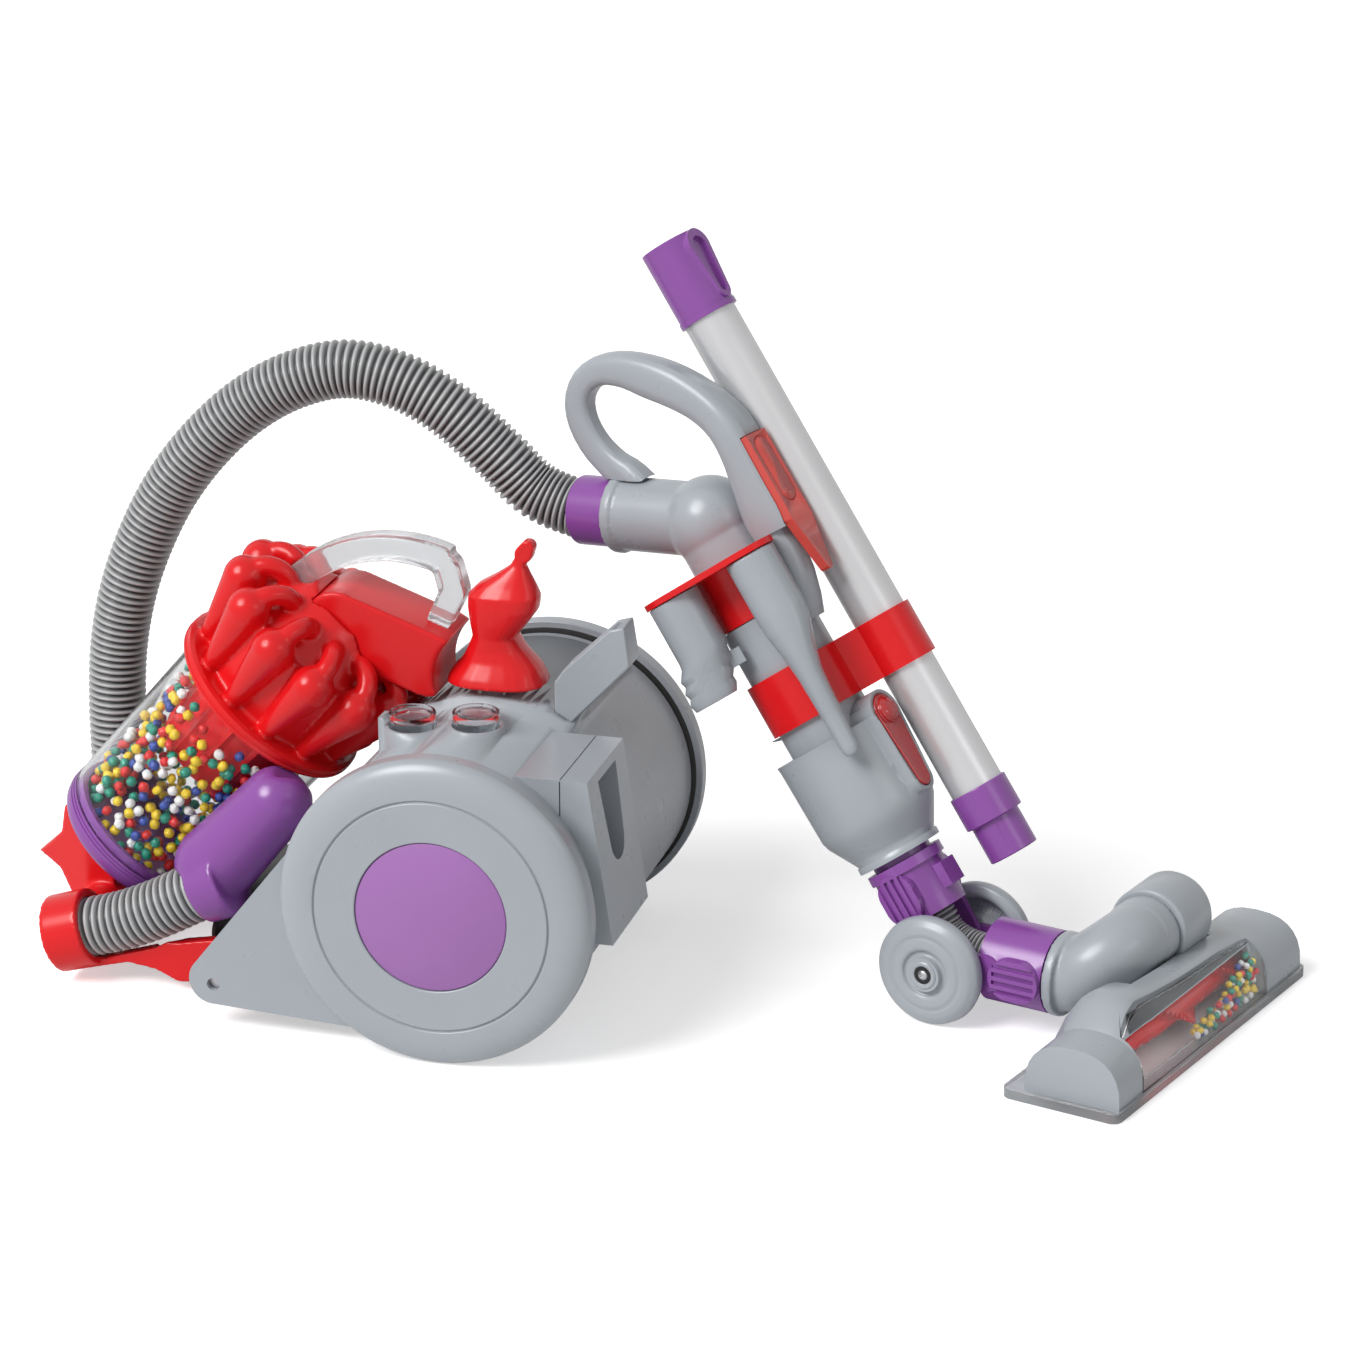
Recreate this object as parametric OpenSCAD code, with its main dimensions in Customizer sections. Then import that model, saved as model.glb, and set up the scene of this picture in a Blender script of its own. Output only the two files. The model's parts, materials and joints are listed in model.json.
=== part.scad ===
// Toy vacuum cleaner: a wheeled canister with a see-through bin, a ribbed hose, a handle with
// clip-on tools and a floor head with its own brush. Millimetres, floor at z = 0.
// +X runs from the bin towards the floor head, +Y is the far side, +Z is up.

/* [Placing] */
// Shift that puts the middle of the footprint on the origin, along the canister
origin_x = 67.2; // [0:0.1:120]
// Shift that puts the middle of the footprint on the origin, across the canister
origin_y = 3.2; // [-30:0.1:30]

/* [Canister] */
// Radius of the drum-shaped housing
drum_r = 70; // [60:1:80]
// Depth by which a large wheel stands out past the drum
wheel_rim = 5; // [4:0.5:8]
// Distance from the middle to the outer face of a large wheel
wheel_face = 112; // [105:1:125]
// Thickness of a large wheel
wheel_w = 15; // [11:1:18]
// Radius of the coloured disc on a large wheel
wheel_cap_r = 36.5; // [25:0.5:48]
// Radius of the steel axle of the large wheels
axle_r = 4; // [3:0.5:6]
// Half the width of the housing, over its side cheeks
drum_half = 94; // [80:1:95]
// Thickness of a side cheek
cheek_t = 4; // [3:0.5:6]
// Wall of the moulded housings
wall = 3; // [2:0.5:4]
// Distance from the middle of the bin's base back to the roller axle
nose_back = 74; // [70:1:80]
// Radius of the rounded nose of a side cheek
nose_r = 12; // [9:0.5:14]
// Radius of the front roller
roller_r = 22; // [18:0.5:24]
// Width of the front roller
roller_w = 80; // [50:1:120]
// Radius of the front roller's pin
roller_pin_r = 3; // [2:0.5:4]

/* [Bin and cyclone] */
// Gap between the drum and the bin's middle line
bin_gap = 55.66; // [55:0.1:60]
// Height of the middle of the bin's base
bin_z = 54; // [52:1:60]
// Lean of the bin away from upright
bin_lean = 42; // [38:1:44]
// Height of the bin from its base to the cyclone's flange
bin_h = 107; // [95:1:112]
// Outer radius of the bin at its base
bin_r = 42; // [38:0.5:43]
// Extra radius of the bin at its top
bin_flare = 3; // [0:0.5:4]
// Wall of the bin
bin_wall = 2; // [1.2:0.1:3]
// Radius of the cyclone's flange
flange_r = 50; // [47:0.5:52]
// Thickness of the cyclone's flange
flange_t = 6; // [4:0.5:8]
// Number of cyclone cones
cones = 12; // [8:1:14]
// Length of a cyclone cone
cone_h = 34; // [28:1:40]
// Radius of a bead
bead_r = 2.8; // [1.5:0.1:3.5]

/* [Hose] */
// Outer radius of the ribbed hose
hose_r = 14.5; // [12:0.5:16]
// Depth of the grooves between the ribs
hose_groove = 2; // [1:0.1:3]
// Wall of the hose under its grooves
hose_wall = 1.5; // [1:0.1:2.5]
// Number of ribs on the long hose
hose_ribs = 88; // [40:1:100]
// Number of ribs on the short inlet hose
inlet_ribs = 17; // [6:1:24]

/* [Handle and wand] */
// Lean of the wand away from upright
wand_lean = 35.5; // [30:0.5:40]
// Height of the handle's ball along the wand, from the neck axle
ball_a = 237; // [230:1:245]
// Radius of the handle's ball
ball_r = 22; // [20:0.5:24]
// Radius of the handle's pipe
pipe_r = 18; // [17.5:0.5:20]
// Length of the handle's pipe from the ball's middle
pipe_len = 52; // [46:1:58]
// Droop of the handle's pipe below level
pipe_drop = 5; // [0:1:10]
// Length of the hose cuff
cuff_len = 20; // [14:1:26]
// Radius of the hose cuff
cuff_r = 17; // [16.5:0.1:18]
// Outer radius of the wand's sleeve
sleeve_r = 22.5; // [21:0.5:24]
// Wall of the wand's sleeve
sleeve_wall = 2.2; // [1.5:0.1:3]
// Radius of the bell at the foot of the wand
bell_r = 30; // [28:0.5:31]
// Outer radius of the silver tube
tube_r = 13.3; // [11:0.1:14]
// Wall of the silver tube
tube_wall = 1.2; // [0.8:0.1:2]
// Length of the silver tube between its sleeves' ends
tube_len = 334; // [300:1:360]
// Travel of the handle's trigger
trigger_travel = 3; // [1:0.5:4]

/* [Neck and head] */
// Radius of a neck wheel
neck_wheel_r = 27; // [24:0.5:29]
// Radius of the pins that carry the neck wheels
neck_pin_r = 3.5; // [2.5:0.5:5]
// Distance from the neck axle forward to the middle of the head
neck_back = 98; // [94:1:110]
// Sideways offset of the neck from the middle of the head
neck_side = 20; // [10:1:30]
// Radius of the neck's lower sleeve
neck_r = 20; // [18:0.5:22]
// Length of the sole plate
sole_len = 205; // [180:1:220]
// Width of the sole plate
sole_w = 60; // [54:1:66]
// Thickness of the sole plate
sole_t = 4; // [3:0.5:6]
// Radius of the head's swivel barrel
barrel_r = 20; // [19:0.5:22]
// Height of the head's swivel barrel
barrel_z = 45; // [44:0.5:50]
// Radius of the brush's core
brush_core_r = 6; // [4:0.5:8]
// Radius over the brush's pegs
brush_r = 12; // [9:0.5:14]

/* [Fits] */
// Running clearance of a pin in its bore
run_fit = 0.06; // [0.02:0.01:0.1]
// Clearance between parts that are fixed to each other
seat_fit = 0.15; // [0.05:0.05:0.3]
// Clearance between parts that move past each other
free_fit = 0.5; // [0.3:0.1:1]

/* [Hidden] */
$fn = 64;

grey = [0.62, 0.65, 0.68];
purple = [0.47, 0.2, 0.6];
red = [0.86, 0.08, 0.09];
clear = [0.85, 0.88, 0.9, 0.4];
silver = [0.78, 0.79, 0.8];
steel = [0.7, 0.7, 0.72];
black = [0.08, 0.08, 0.09];
lilac = [0.62, 0.42, 0.7];

wheel_r = drum_r + wheel_rim;
axle_z = wheel_r;
bin_reach = (drum_r + bin_gap + (axle_z - bin_z) * sin(bin_lean)) / cos(bin_lean);
nose_reach = bin_reach - nose_back;
front_shift = 188 - bin_reach;
inner_half = drum_half - cheek_t;
head_place = [319, 13];
head_yaw = -17;
tube_place = [41, 24.5];
tube_foot = 28;
crevice_place = [28.3, -26.7];
short_place = [-16, -36];
clip_t = 3;
yoke_arm = 14;
yoke_arm_t = 3;
bell_low = 54;
bell_top = 118;

// Side-view points drawn against the drum move with its size
drum_k = drum_r / 70;
function on_drum(q) = [drum_k * q.x, axle_z + drum_k * (q.y - 75)];

// Heights along the wand, above its bell, move with the handle's ball
function up(a) = a <= 118 ? a : a <= 237 ? 118 + (a - 118) * (ball_a - 118) / 119 : a + ball_a - 237;
clip_a = up(213);

// Directions of the floor head and places along the handle
head_dir = [cos(head_yaw), sin(head_yaw), 0];
side_dir = [-sin(head_yaw), cos(head_yaw), 0];
up_dir = [0, 0, 1];
neck_pos = [head_place.x, head_place.y, neck_wheel_r] - neck_back * head_dir - neck_side * side_dir;
ball_pos = neck_pos + ball_a * (cos(wand_lean) * up_dir - sin(wand_lean) * head_dir);
pipe_dir = -cos(pipe_drop) * head_dir - sin(pipe_drop) * up_dir;

// The long hose's route, from inside the handle's cuff to the far collar at the front
hose_arch = [[-6, 86, 221], [-25, 84, 239], [-47, 81, 259], [-72, 79, 273], [-99, 77, 278], [-126, 75, 271],
  [-151, 74, 256], [-173, 72, 235], [-191, 71, 211], [-205, 70, 184], [-215, 69, 156], [-221, 69, 127],
  [-223, 69, 98], [-223, 69, 70], [-223, 69, 44]];
hose_route = concat(
  [for (d = [-10, 6, 22]) ball_pos + (pipe_len + d) * pipe_dir],
  [for (q = hose_arch) q + [front_shift * min(1, max(0, (-47 - q.x) / 170)), 0, 0]]);

// The short hose's route, from the near collar to the mouth of the inlet elbow
inlet_points = [[-206, -52, 22], [-190, -52, 27], [-174, -52, 32], [-157, -52, 39.5], [-142, -52, 47.5],
  [-127, -52, 55.5]];
inlet_route = [for (q = inlet_points) q + [front_shift, 0, 0]];

// Frames that the pieces are drawn in
module placed() translate([-origin_x, -origin_y, 0]) children();
module axle_frame() placed() translate([0, 0, axle_z]) children();
module bin_frame() placed() translate([-bin_reach, 0, bin_z]) rotate([0, bin_lean, 0]) children();
module head_frame() placed() translate([head_place.x, head_place.y, 0]) rotate([0, 0, head_yaw]) children();
module neck_frame() head_frame() translate([-neck_back, -neck_side, neck_wheel_r]) children();
module wand_frame() neck_frame() rotate([0, -wand_lean, 0]) children();
module pipe_frame() wand_frame() translate([0, 0, ball_a]) rotate([0, wand_lean - 90 - pipe_drop, 0]) children();
module tube_frame() wand_frame() translate([tube_place.x, tube_place.y, 0]) children();

// Extrudes a side view (x, z) from one y to another
module span_y(y0, y1) rotate([90, 0, 0]) translate([0, 0, -y1]) linear_extrude(y1 - y0) children();

// A cylinder along y, from one y to another
module bar_y(r, y0, y1) translate([0, y0, 0]) rotate([-90, 0, 0]) cylinder(r = r, h = y1 - y0);

// Two circles and the straight sides that touch both, set a hair inside them
link_bite = 0.03;
module link2d(a, ra, b, rb) {
  d = b - a;
  turn = atan2(d.y, d.x);
  open = acos((ra - rb) / norm(d));
  up = [cos(turn + open), sin(turn + open)];
  down = [cos(turn - open), sin(turn - open)];
  ia = ra - link_bite;
  ib = rb - link_bite;
  polygon([a + ia * up, b + ib * up, b + ib * down, a + ia * down]);
  translate(a) circle(ra);
  translate(b) circle(rb);
}

// The same shape as a solid, from one y to another
module span_link(y0, y1, a, ra, b, rb) union() {
  d = b - a;
  turn = atan2(d.y, d.x);
  open = acos((ra - rb) / norm(d));
  up = [cos(turn + open), sin(turn + open)];
  down = [cos(turn - open), sin(turn - open)];
  ia = ra - link_bite;
  ib = rb - link_bite;
  span_y(y0, y1) polygon([a + ia * up, b + ib * up, b + ib * down, a + ia * down]);
  translate([a.x, 0, a.y]) bar_y(ra, y0, y1);
  translate([b.x, 0, b.y]) bar_y(rb, y0, y1);
}

// A rectangle with round corners, centred
module plate2d(x, y, r) {
  square([x - 2 * r, y], center = true);
  square([x, y - 2 * r], center = true);
  for (i = [-1, 1], j = [-1, 1]) translate([i * (x / 2 - r), j * (y / 2 - r)]) circle(r);
}

// Smooth curve through a list of points, s counting points from the first
function blend4(a, b, c, d, t) =
  0.5 * (2 * b + (c - a) * t + (2 * a - 5 * b + 4 * c - d) * t * t + (3 * b - a - 3 * c + d) * t * t * t);
function along(pts, s) =
  let (n = len(pts) - 1, i = min(floor(s), n - 1))
  blend4(pts[max(i - 1, 0)], pts[i], pts[i + 1], pts[min(i + 2, n)], s - i);
function unit(v) = v / norm(v);
function heading(pts, s) =
  let (n = len(pts) - 1, e = 0.02)
  unit(along(pts, min(s + e, n)) - along(pts, max(s - e, 0)));

// Points of one closed section set square to the curve; the section is a list of (across, side) pairs
function ring(pts, s, section, side) =
  let (t = heading(pts, s), across = unit(cross(side, t)), level = cross(t, across), c = along(pts, s))
  [for (q = section) c + q[0] * across + q[1] * level];
function circle_pts(r, n) = [for (k = [0 : n - 1]) r * [cos(360 * k / n), sin(360 * k / n)]];
function sgn_pow(x, e) = sign(x) * pow(abs(x), e);
function oval_pts(a, b, n, e) =
  [for (k = [0 : n - 1]) [a * sgn_pow(cos(360 * k / n), e), b * sgn_pow(sin(360 * k / n), e)]];

// Triangles of a wall between rings of n points, seen from outside
function wall_faces(rings, n, first, flip) =
  [for (i = [0 : rings - 2], k = [0 : n - 1], half = [0, 1])
    let (a = first + i * n + k, b = first + i * n + (k + 1) % n, c = b + n, d = a + n,
         f = half == 0 ? [a, d, c] : [a, c, b])
    flip ? [f[2], f[1], f[0]] : f];
function cap_faces(first, n, flip) =
  [for (k = [1 : n - 2]) flip ? [first, first + k + 1, first + k] : [first, first + k, first + k + 1]];
function rim_faces(outer, inner, n, flip) =
  [for (k = [0 : n - 1], half = [0, 1])
    let (a = outer + k, b = outer + (k + 1) % n, c = inner + (k + 1) % n, d = inner + k,
         f = half == 0 ? [a, b, c] : [a, c, d])
    flip ? [f[2], f[1], f[0]] : f];

// End of a thin section that goes out along one side and back along the other
function strip_faces(first, n, flip) =
  [for (k = [0 : n / 2 - 2], half = [0, 1])
    let (a = first + k, b = first + k + 1, c = first + n - 2 - k, d = first + n - 1 - k,
         f = half == 0 ? [a, b, c] : [a, c, d])
    flip ? [f[2], f[1], f[0]] : f];

// A solid through closed sections, all with the same number of points
module loft(sections, thin = false) {
  n = len(sections[0]);
  m = len(sections);
  polyhedron([for (s = sections) each s], concat(wall_faces(m, n, 0, false),
    thin ? strip_faces(0, n, false) : cap_faces(0, n, false),
    thin ? strip_faces((m - 1) * n, n, true) : cap_faces((m - 1) * n, n, true)));
}

// A ribbed hose with its bore along a route
module ribbed_hose(route, ribs, r, groove, bore, side, sides = 8) {
  last = len(route) - 1;
  outer_n = 2 * ribs + 1;
  bore_n = 2 * last + 1;
  outer = [for (i = [0 : outer_n - 1])
    each ring(route, last * i / (outer_n - 1), circle_pts(i % 2 == 0 ? r - groove : r, sides), side)];
  inner = [for (i = [0 : bore_n - 1]) each ring(route, last * i / (bore_n - 1), circle_pts(bore, sides), side)];
  polyhedron(concat(outer, inner), concat(
    wall_faces(outer_n, sides, 0, false),
    wall_faces(bore_n, sides, outer_n * sides, true),
    rim_faces(0, outer_n * sides, sides, false),
    rim_faces((outer_n - 1) * sides, (outer_n + bore_n - 1) * sides, sides, true)));
}

// Canister housing

// Side plate: the drum and the nose that carries the front roller
module cheek_plate(y0, y1) span_link(y0, y1, [0, axle_z], drum_r, [-nose_reach, roller_r + 2], nose_r);

module cheek(side) placed() difference() {
  cheek_plate(side < 0 ? -drum_half : inner_half, side < 0 ? -inner_half : drum_half);
  translate([0, 0, axle_z]) bar_y(axle_r + seat_fit, -drum_half - 1, drum_half + 1);
  translate([-nose_reach, 0, roller_r]) bar_y(roller_pin_r + seat_fit, -drum_half - 1, drum_half + 1);
}
module near_cheek() color(grey) cheek(-1);
module far_cheek() color(grey) cheek(1);

cover_len = 70;
cover_half = 51;
cell_r = 12.5;
cell_len = 48;

module drum_ring2d() difference() {
  circle(drum_r);
  circle(drum_r - wall);
}

// Lower half of the drum, open for the cells, with lugs for the roller's pin
module lower_housing() color(grey) placed() difference() {
  union() {
    span_y(-inner_half, inner_half) translate([0, axle_z]) intersection() {
      drum_ring2d();
      translate([-drum_r - 1, -drum_r - 1]) square([2 * drum_r + 2, drum_r + 1]);
    }
    for (s = [-1, 1]) translate([0, s * (roller_w / 2 + 5.5), 0]) roller_lug();
    motor_cradle();
  }
  translate([-nose_reach, 0, roller_r]) bar_y(roller_pin_r + seat_fit, -drum_half, drum_half);
  span_y(-cover_half, cover_half) translate([-cover_len / 2, 0])
    square([cover_len, axle_z - drum_r + wall + 13]);
  dock_room();
}

// Lugs under the drum's front that hold the roller's pin
module roller_lug() difference() {
  span_link(-2.5, 2.5, [-nose_reach, roller_r + 2], nose_r - wall - 2 * seat_fit, on_drum([-66, 53]), 9);
  translate([0, 0, axle_z]) bar_y(drum_r - wall / 2, -10, 10);
}

motor_r = 16;
motor_len = 44;
motor_at = [-34 * drum_k, 20];
// Saddles on the front wall of the drum, under the motor
module motor_cradle() for (y = [-12, 12]) translate([0, motor_at.y + y, axle_z]) span_y(-2, 2) difference() {
  intersection() {
    circle(drum_r - 1);
    translate([-drum_r, -26]) square([drum_r - 16, 25]);
  }
  translate([motor_at.x, 0]) circle(motor_r);
}

// Buttons stand on round bosses on the near shoulder of the upper half
boss_r = 13.5;
button_r = 11;
button_x = [-28.5 * drum_k, 2.5 * drum_k];
button_y = -45;
boss_top = [axle_z + 68 * drum_k, axle_z + 71 * drum_k];
boss_low = axle_z + 51 * drum_k;
button_travel = 3;
spine_half = 16;
spine_t = 4;

module upper_housing() color(grey) placed() difference() {
  union() {
    span_y(-inner_half, inner_half) translate([0, axle_z]) difference() {
      drum_ring2d();
      translate([-drum_r - 1, -drum_r - 1]) square([2 * drum_r + 2, drum_r + 1]);
    }
    for (i = [0, 1]) translate([button_x[i], button_y, boss_low]) cylinder(r = boss_r, h = boss_top[i] - boss_low);
    span_y(-spine_half, spine_half) intersection() {
      translate([0, axle_z]) difference() {
        circle(drum_r + spine_t);
        circle(drum_r - wall / 2);
      }
      translate([-40, axle_z + 30]) square([80, 60]);
    }
    for (s = [-1, 1]) lever_ear(s);
    switch_posts();
    front_deck();
  }
  for (i = [0, 1]) translate([button_x[i], button_y, axle_z]) cylinder(r = button_r + free_fit, h = 120);
  span_y(-lever_ear_y - 4, lever_ear_y + 4) translate(lever_pivot) circle(lever_pin_r + run_fit);
  dock_room();
  bracket_room();
  translate([-nose_reach, 0, roller_r]) bar_y(roller_r + 2, -roller_w / 2 - 2, roller_w / 2 + 2);
}

// Sloping deck under the bin, from the drum down to the nose between the cheeks
deck_line = [-nose_reach, roller_r + 2 - axle_z];
deck_turn = atan2(deck_line.y, deck_line.x);
deck_open = acos((drum_r - nose_r) / norm(deck_line));
deck_up = [cos(deck_turn - deck_open), sin(deck_turn - deck_open)];
module front_deck() span_y(-inner_half, inner_half) difference() {
  polygon([[0, axle_z] + (drum_r - 0.4) * deck_up, [-nose_reach, roller_r + 2] + (nose_r - 0.4) * deck_up,
    [-nose_reach, roller_r + 2] + (nose_r - wall) * deck_up, [0, axle_z] + (drum_r - wall) * deck_up]);
  translate([0, axle_z]) circle(drum_r - wall / 2);
}

// Room of the deck and of what lies under it
module under_deck() placed() span_y(-drum_half, drum_half) polygon([
  [0, axle_z] + (drum_r + 0.3) * deck_up, [-nose_reach, roller_r + 2] + (nose_r + 0.3) * deck_up,
  [-nose_reach + (nose_r + 0.3) * deck_up.x, -20], [0, -20]]);

// Ears on the spine that carry the lever's hinge pin
lever_pivot = on_drum([0, 157]);
lever_lift = lever_pivot.y - 157;
lever_pin_r = 2;
lever_ear_y = 9;
module lever_ear(s) span_y(s * lever_ear_y - 2, s * lever_ear_y + 2)
  link2d(lever_pivot, 4.5, [0, axle_z + drum_r], 6);

module battery_cover() color(grey) placed() intersection() {
  span_y(-cover_half + free_fit, cover_half - free_fit) difference() {
    translate([0, axle_z]) drum_ring2d();
    translate([0, axle_z]) circle(drum_r - wall);
  }
  translate([-cover_len / 2 + free_fit, -100, 0]) cube([cover_len - 2 * free_fit, 200, axle_z - drum_r + 14]);
}

// Four cells in two rows that lie on the battery cover
cell_x = cell_r + 0.05;
cell_drop = sqrt(pow(drum_r - wall - cell_r - 0.1, 2) - cell_x * cell_x);
module battery_cells() color(lilac) axle_frame() for (i = [-1, 1], j = [-1, 1])
  translate([i * cell_x, j * (cell_len / 2 + 0.05), -cell_drop]) bar_y(cell_r, -cell_len / 2, cell_len / 2);

module drive_motor() color(steel) axle_frame() translate([motor_at.x, motor_at.y, 0]) {
  bar_y(motor_r, -motor_len / 2, motor_len / 2);
  bar_y(2, motor_len / 2 - 1, motor_len / 2 + 12);
}

switch_half = button_r + 1.4;
switch_z = axle_z + 36 * drum_k;
module power_switch() color(black) placed() translate([button_x[0], button_y, switch_z]) {
  translate([-switch_half, -6, 0]) cube([2 * switch_half, 12, 12]);
  translate([0, 0, 11.9]) cylinder(r = 3, h = 5);
}
// Posts inside the upper half that the switch is held between
module switch_posts() for (s = [-1, 1])
  translate([button_x[0] + s * (switch_half + 1.5) - 1.5, button_y - 5, switch_z])
    cube([3, 10, drum_k * (30 - s * 6)]);

// Fan on the motor's shaft, a hub with swept blades between two rings
fan_r = 26;
fan_blades = 9;
fan_w = 12;
fan_at = motor_at.y + motor_len / 2 + 1;
module impeller() color(black) axle_frame() translate([motor_at.x, fan_at, 0]) rotate([-90, 0, 0]) difference() {
  union() {
    cylinder(r = 6, h = fan_w);
    cylinder(r = fan_r, h = 1.6);
    for (k = [0 : fan_blades - 1]) rotate(360 * k / fan_blades) translate([5, -0.8, 0]) rotate(20)
      cube([fan_r - 8, 1.6, fan_w]);
  }
  translate([0, 0, -1]) cylinder(r = 2 + run_fit, h = fan_w);
}

// Box behind the near shoulder with the tapered slot that the floor head's hook drops into
dock_top = axle_z + 62 * drum_k;
dock_lid = 5;
dock_y = [-83, -21];
dock_slot_y = (dock_y[0] + dock_y[1]) / 2;
dock_slot_depth = 13;
dock_lean = 8.6;
dock_back = 74.3 * drum_k;
dock_line = [[30, 137], [67, 137], [79, 58], [52, 58], [30, 110]];
module dock2d() polygon([for (q = dock_line) on_drum(q)]);
module dock_room() span_y(dock_y[0] - seat_fit, dock_y[1] + seat_fit) dock2d();
module dock_slot() difference() {
  translate([0, 0, axle_z]) rotate([0, -dock_lean, 0]) translate([dock_back - dock_slot_depth, 0, 0])
    rotate([90, 0, 90]) linear_extrude(40) link2d([dock_slot_y, 14 * drum_k], 11, [dock_slot_y, 94 * drum_k], 21);
  translate([0, dock_y[0], dock_top - dock_lid]) cube([300, dock_y[1] - dock_y[0], 100]);
}
module parking_dock() color(grey) placed() difference() {
  span_y(dock_y[0], dock_y[1]) dock2d();
  translate([0, 0, axle_z]) bar_y(drum_r - wall - 1, -drum_half, drum_half);
  dock_slot();
}

// Channel that rises behind the spine to a hooked tip
bracket_half = 9;
bracket_line = [[30, 142], [38, 137], [67, 168], [64, 187], [57, 185], [55, 183], [34, 163], [30, 157]];
bracket_groove = [[42, 147], [63, 169], [60.5, 184], [57, 190], [32, 165]];
module bracket2d() difference() {
  polygon([for (q = bracket_line) on_drum(q)]);
  translate([0, axle_z]) circle(drum_r - 1);
}
module bracket_room() span_y(-bracket_half - seat_fit, bracket_half + seat_fit) bracket2d();
module latch_bracket() color(grey) placed() difference() {
  span_y(-bracket_half, bracket_half) bracket2d();
  span_y(-bracket_half + 2.5, bracket_half - 2.5) polygon([for (q = bracket_groove) on_drum(q)]);
}

// Carrying handle: a see-through arch from the cyclone back over the spine
handle_half = 7;
arch_at = on_drum([-50, 143]);
arch_r = [66 * drum_k, 78.5 * drum_k];
module handle_arch2d(grow) difference() {
  translate(arch_at) circle(arch_r[1] + grow);
  translate(arch_at) circle(arch_r[0] - grow);
  translate(on_drum([-160, 40])) square([300 * drum_k, 148 * drum_k - grow]);
  translate(on_drum([-206, 100])) square([100 * drum_k - grow, 300]);
  translate(on_drum([-22, 100])) square([200, 300]);
}
handle_leg = [[-24, 207], [-21, 196], [-31, 174]];
module handle_bar(half, grow) union() {
  span_y(-half, half) handle_arch2d(grow);
  span_link(-half, half, on_drum(handle_leg[0]), 6.2 + grow, on_drum(handle_leg[1]), 6.2 + grow);
  span_link(-half, half, on_drum(handle_leg[1]), 6.2 + grow, on_drum(handle_leg[2]), 5.5 + grow);
}
module handle_solid(grow) placed() handle_bar(handle_half + grow, grow);
module carry_handle() color(clear) difference() {
  handle_solid(0);
  duct_solid(seat_fit);
}

// Duct from the top of the cyclone back and down to the spine
duct_half = 19;
duct_r = 16;
duct_from = [-bin_reach, bin_z] + (bin_h + 62.2) * [sin(bin_lean), cos(bin_lean)];
duct_to = on_drum([-30, 163.5]);
module duct_solid(grow) placed()
  span_link(-duct_half - grow, duct_half + grow, duct_from, duct_r + grow, duct_to, duct_r + grow);
module cyclone_duct() color(red) difference() {
  duct_solid(0);
  placed() translate([0, 0, axle_z]) bar_y(drum_r + spine_t + seat_fit, -drum_half, drum_half);
  placed() span_y(-duct_half - 1, duct_half + 1) translate(lever_pivot) circle(27);
}

// Crown of cyclone cones on a flange, each with a bent finger over the top
cone_base = bin_h + flange_t;
cone_low_r = 5;
cone_top_r = 10.5;
cone_low_at = 43;
cone_tilt = 10;
finger_r = 5;
finger_bend = 12;
module cyclone_cone() translate([cone_low_at, 0, cone_base + 5]) rotate([0, cone_tilt, 0]) {
  cylinder(r1 = cone_low_r, r2 = cone_top_r, h = cone_h, $fn = 32);
  sphere(cone_low_r + 0.02, $fn = 32);
  translate([0, 0, cone_h]) sphere(cone_top_r + 0.02, $fn = 32);
  translate([-finger_bend, 0, cone_h]) rotate([90, 0, 0]) rotate_extrude(angle = 180, $fn = 32)
    translate([finger_bend, 0]) circle(finger_r, $fn = 24);
}
module cyclone_head() color(red) difference() {
  bin_frame() difference() {
    union() {
      translate([0, 0, bin_h]) cylinder(r = flange_r, h = flange_t);
      translate([0, 0, cone_base - 0.1]) cylinder(r1 = 40, r2 = 46, h = cone_h + 6);
      translate([0, 0, cone_base + cone_h]) cylinder(r1 = 46, r2 = 22, h = 26);
      for (k = [0 : cones - 1]) rotate(360 * (k + 0.5) / cones) cyclone_cone();
    }
    translate([0, 0, bin_h - 1]) cylinder(r = 34, h = flange_t + cone_h + 8);
  }
  duct_solid(seat_fit);
  handle_solid(seat_fit);
  axle_frame() bar_y(drum_r + free_fit, -inner_half, inner_half);
  axle_frame() bar_y(drum_r + spine_t + free_fit, -spine_half - free_fit, spine_half + free_fit);
}

// See-through bin with its base, the shroud inside it and loose beads
module dust_bin() color(clear) bin_frame() rotate_extrude() polygon([
  [bin_r - bin_wall, 8], [bin_r, 8], [bin_r + bin_flare, bin_h], [bin_r + bin_flare - bin_wall, bin_h]]);
module bin_base() color(purple) bin_frame() rotate_extrude() polygon([
  [0, -5], [bin_r - 6, -5], [bin_r - 1, -1], [bin_r + 0.4, 4], [bin_r + 0.4, 8], [bin_r - bin_wall - seat_fit, 8],
  [bin_r - bin_wall - seat_fit, 12], [bin_r - bin_wall - 3, 12], [bin_r - bin_wall - 3, 0], [0, 0]]);
shroud_low = bin_h - 45;
module bin_shroud() color(red) bin_frame() rotate_extrude() polygon([
  [0, shroud_low], [29, shroud_low], [32, bin_h + 2], [33.5, bin_h + 2], [33.5, bin_h + 10], [29, bin_h + 10],
  [26, shroud_low + 3], [0, shroud_low + 3]]);
bead_tints = [[0.95, 0.8, 0.1], [0.85, 0.1, 0.1], [0.95, 0.95, 0.93], [0.05, 0.5, 0.4], [0.15, 0.25, 0.6]];
bead_step = 2 * bead_r + 0.1;
module bin_beads() for (k = [0 : 2], i = [0 : 11]) color(bead_tints[(i + 2 * k) % 5]) bin_frame()
  translate([(i % 4 - 1.5) * bead_step, (floor(i / 4) - 1) * bead_step, bead_r + 0.1 + k * bead_step])
    sphere(bead_r, $fn = 24);

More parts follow.
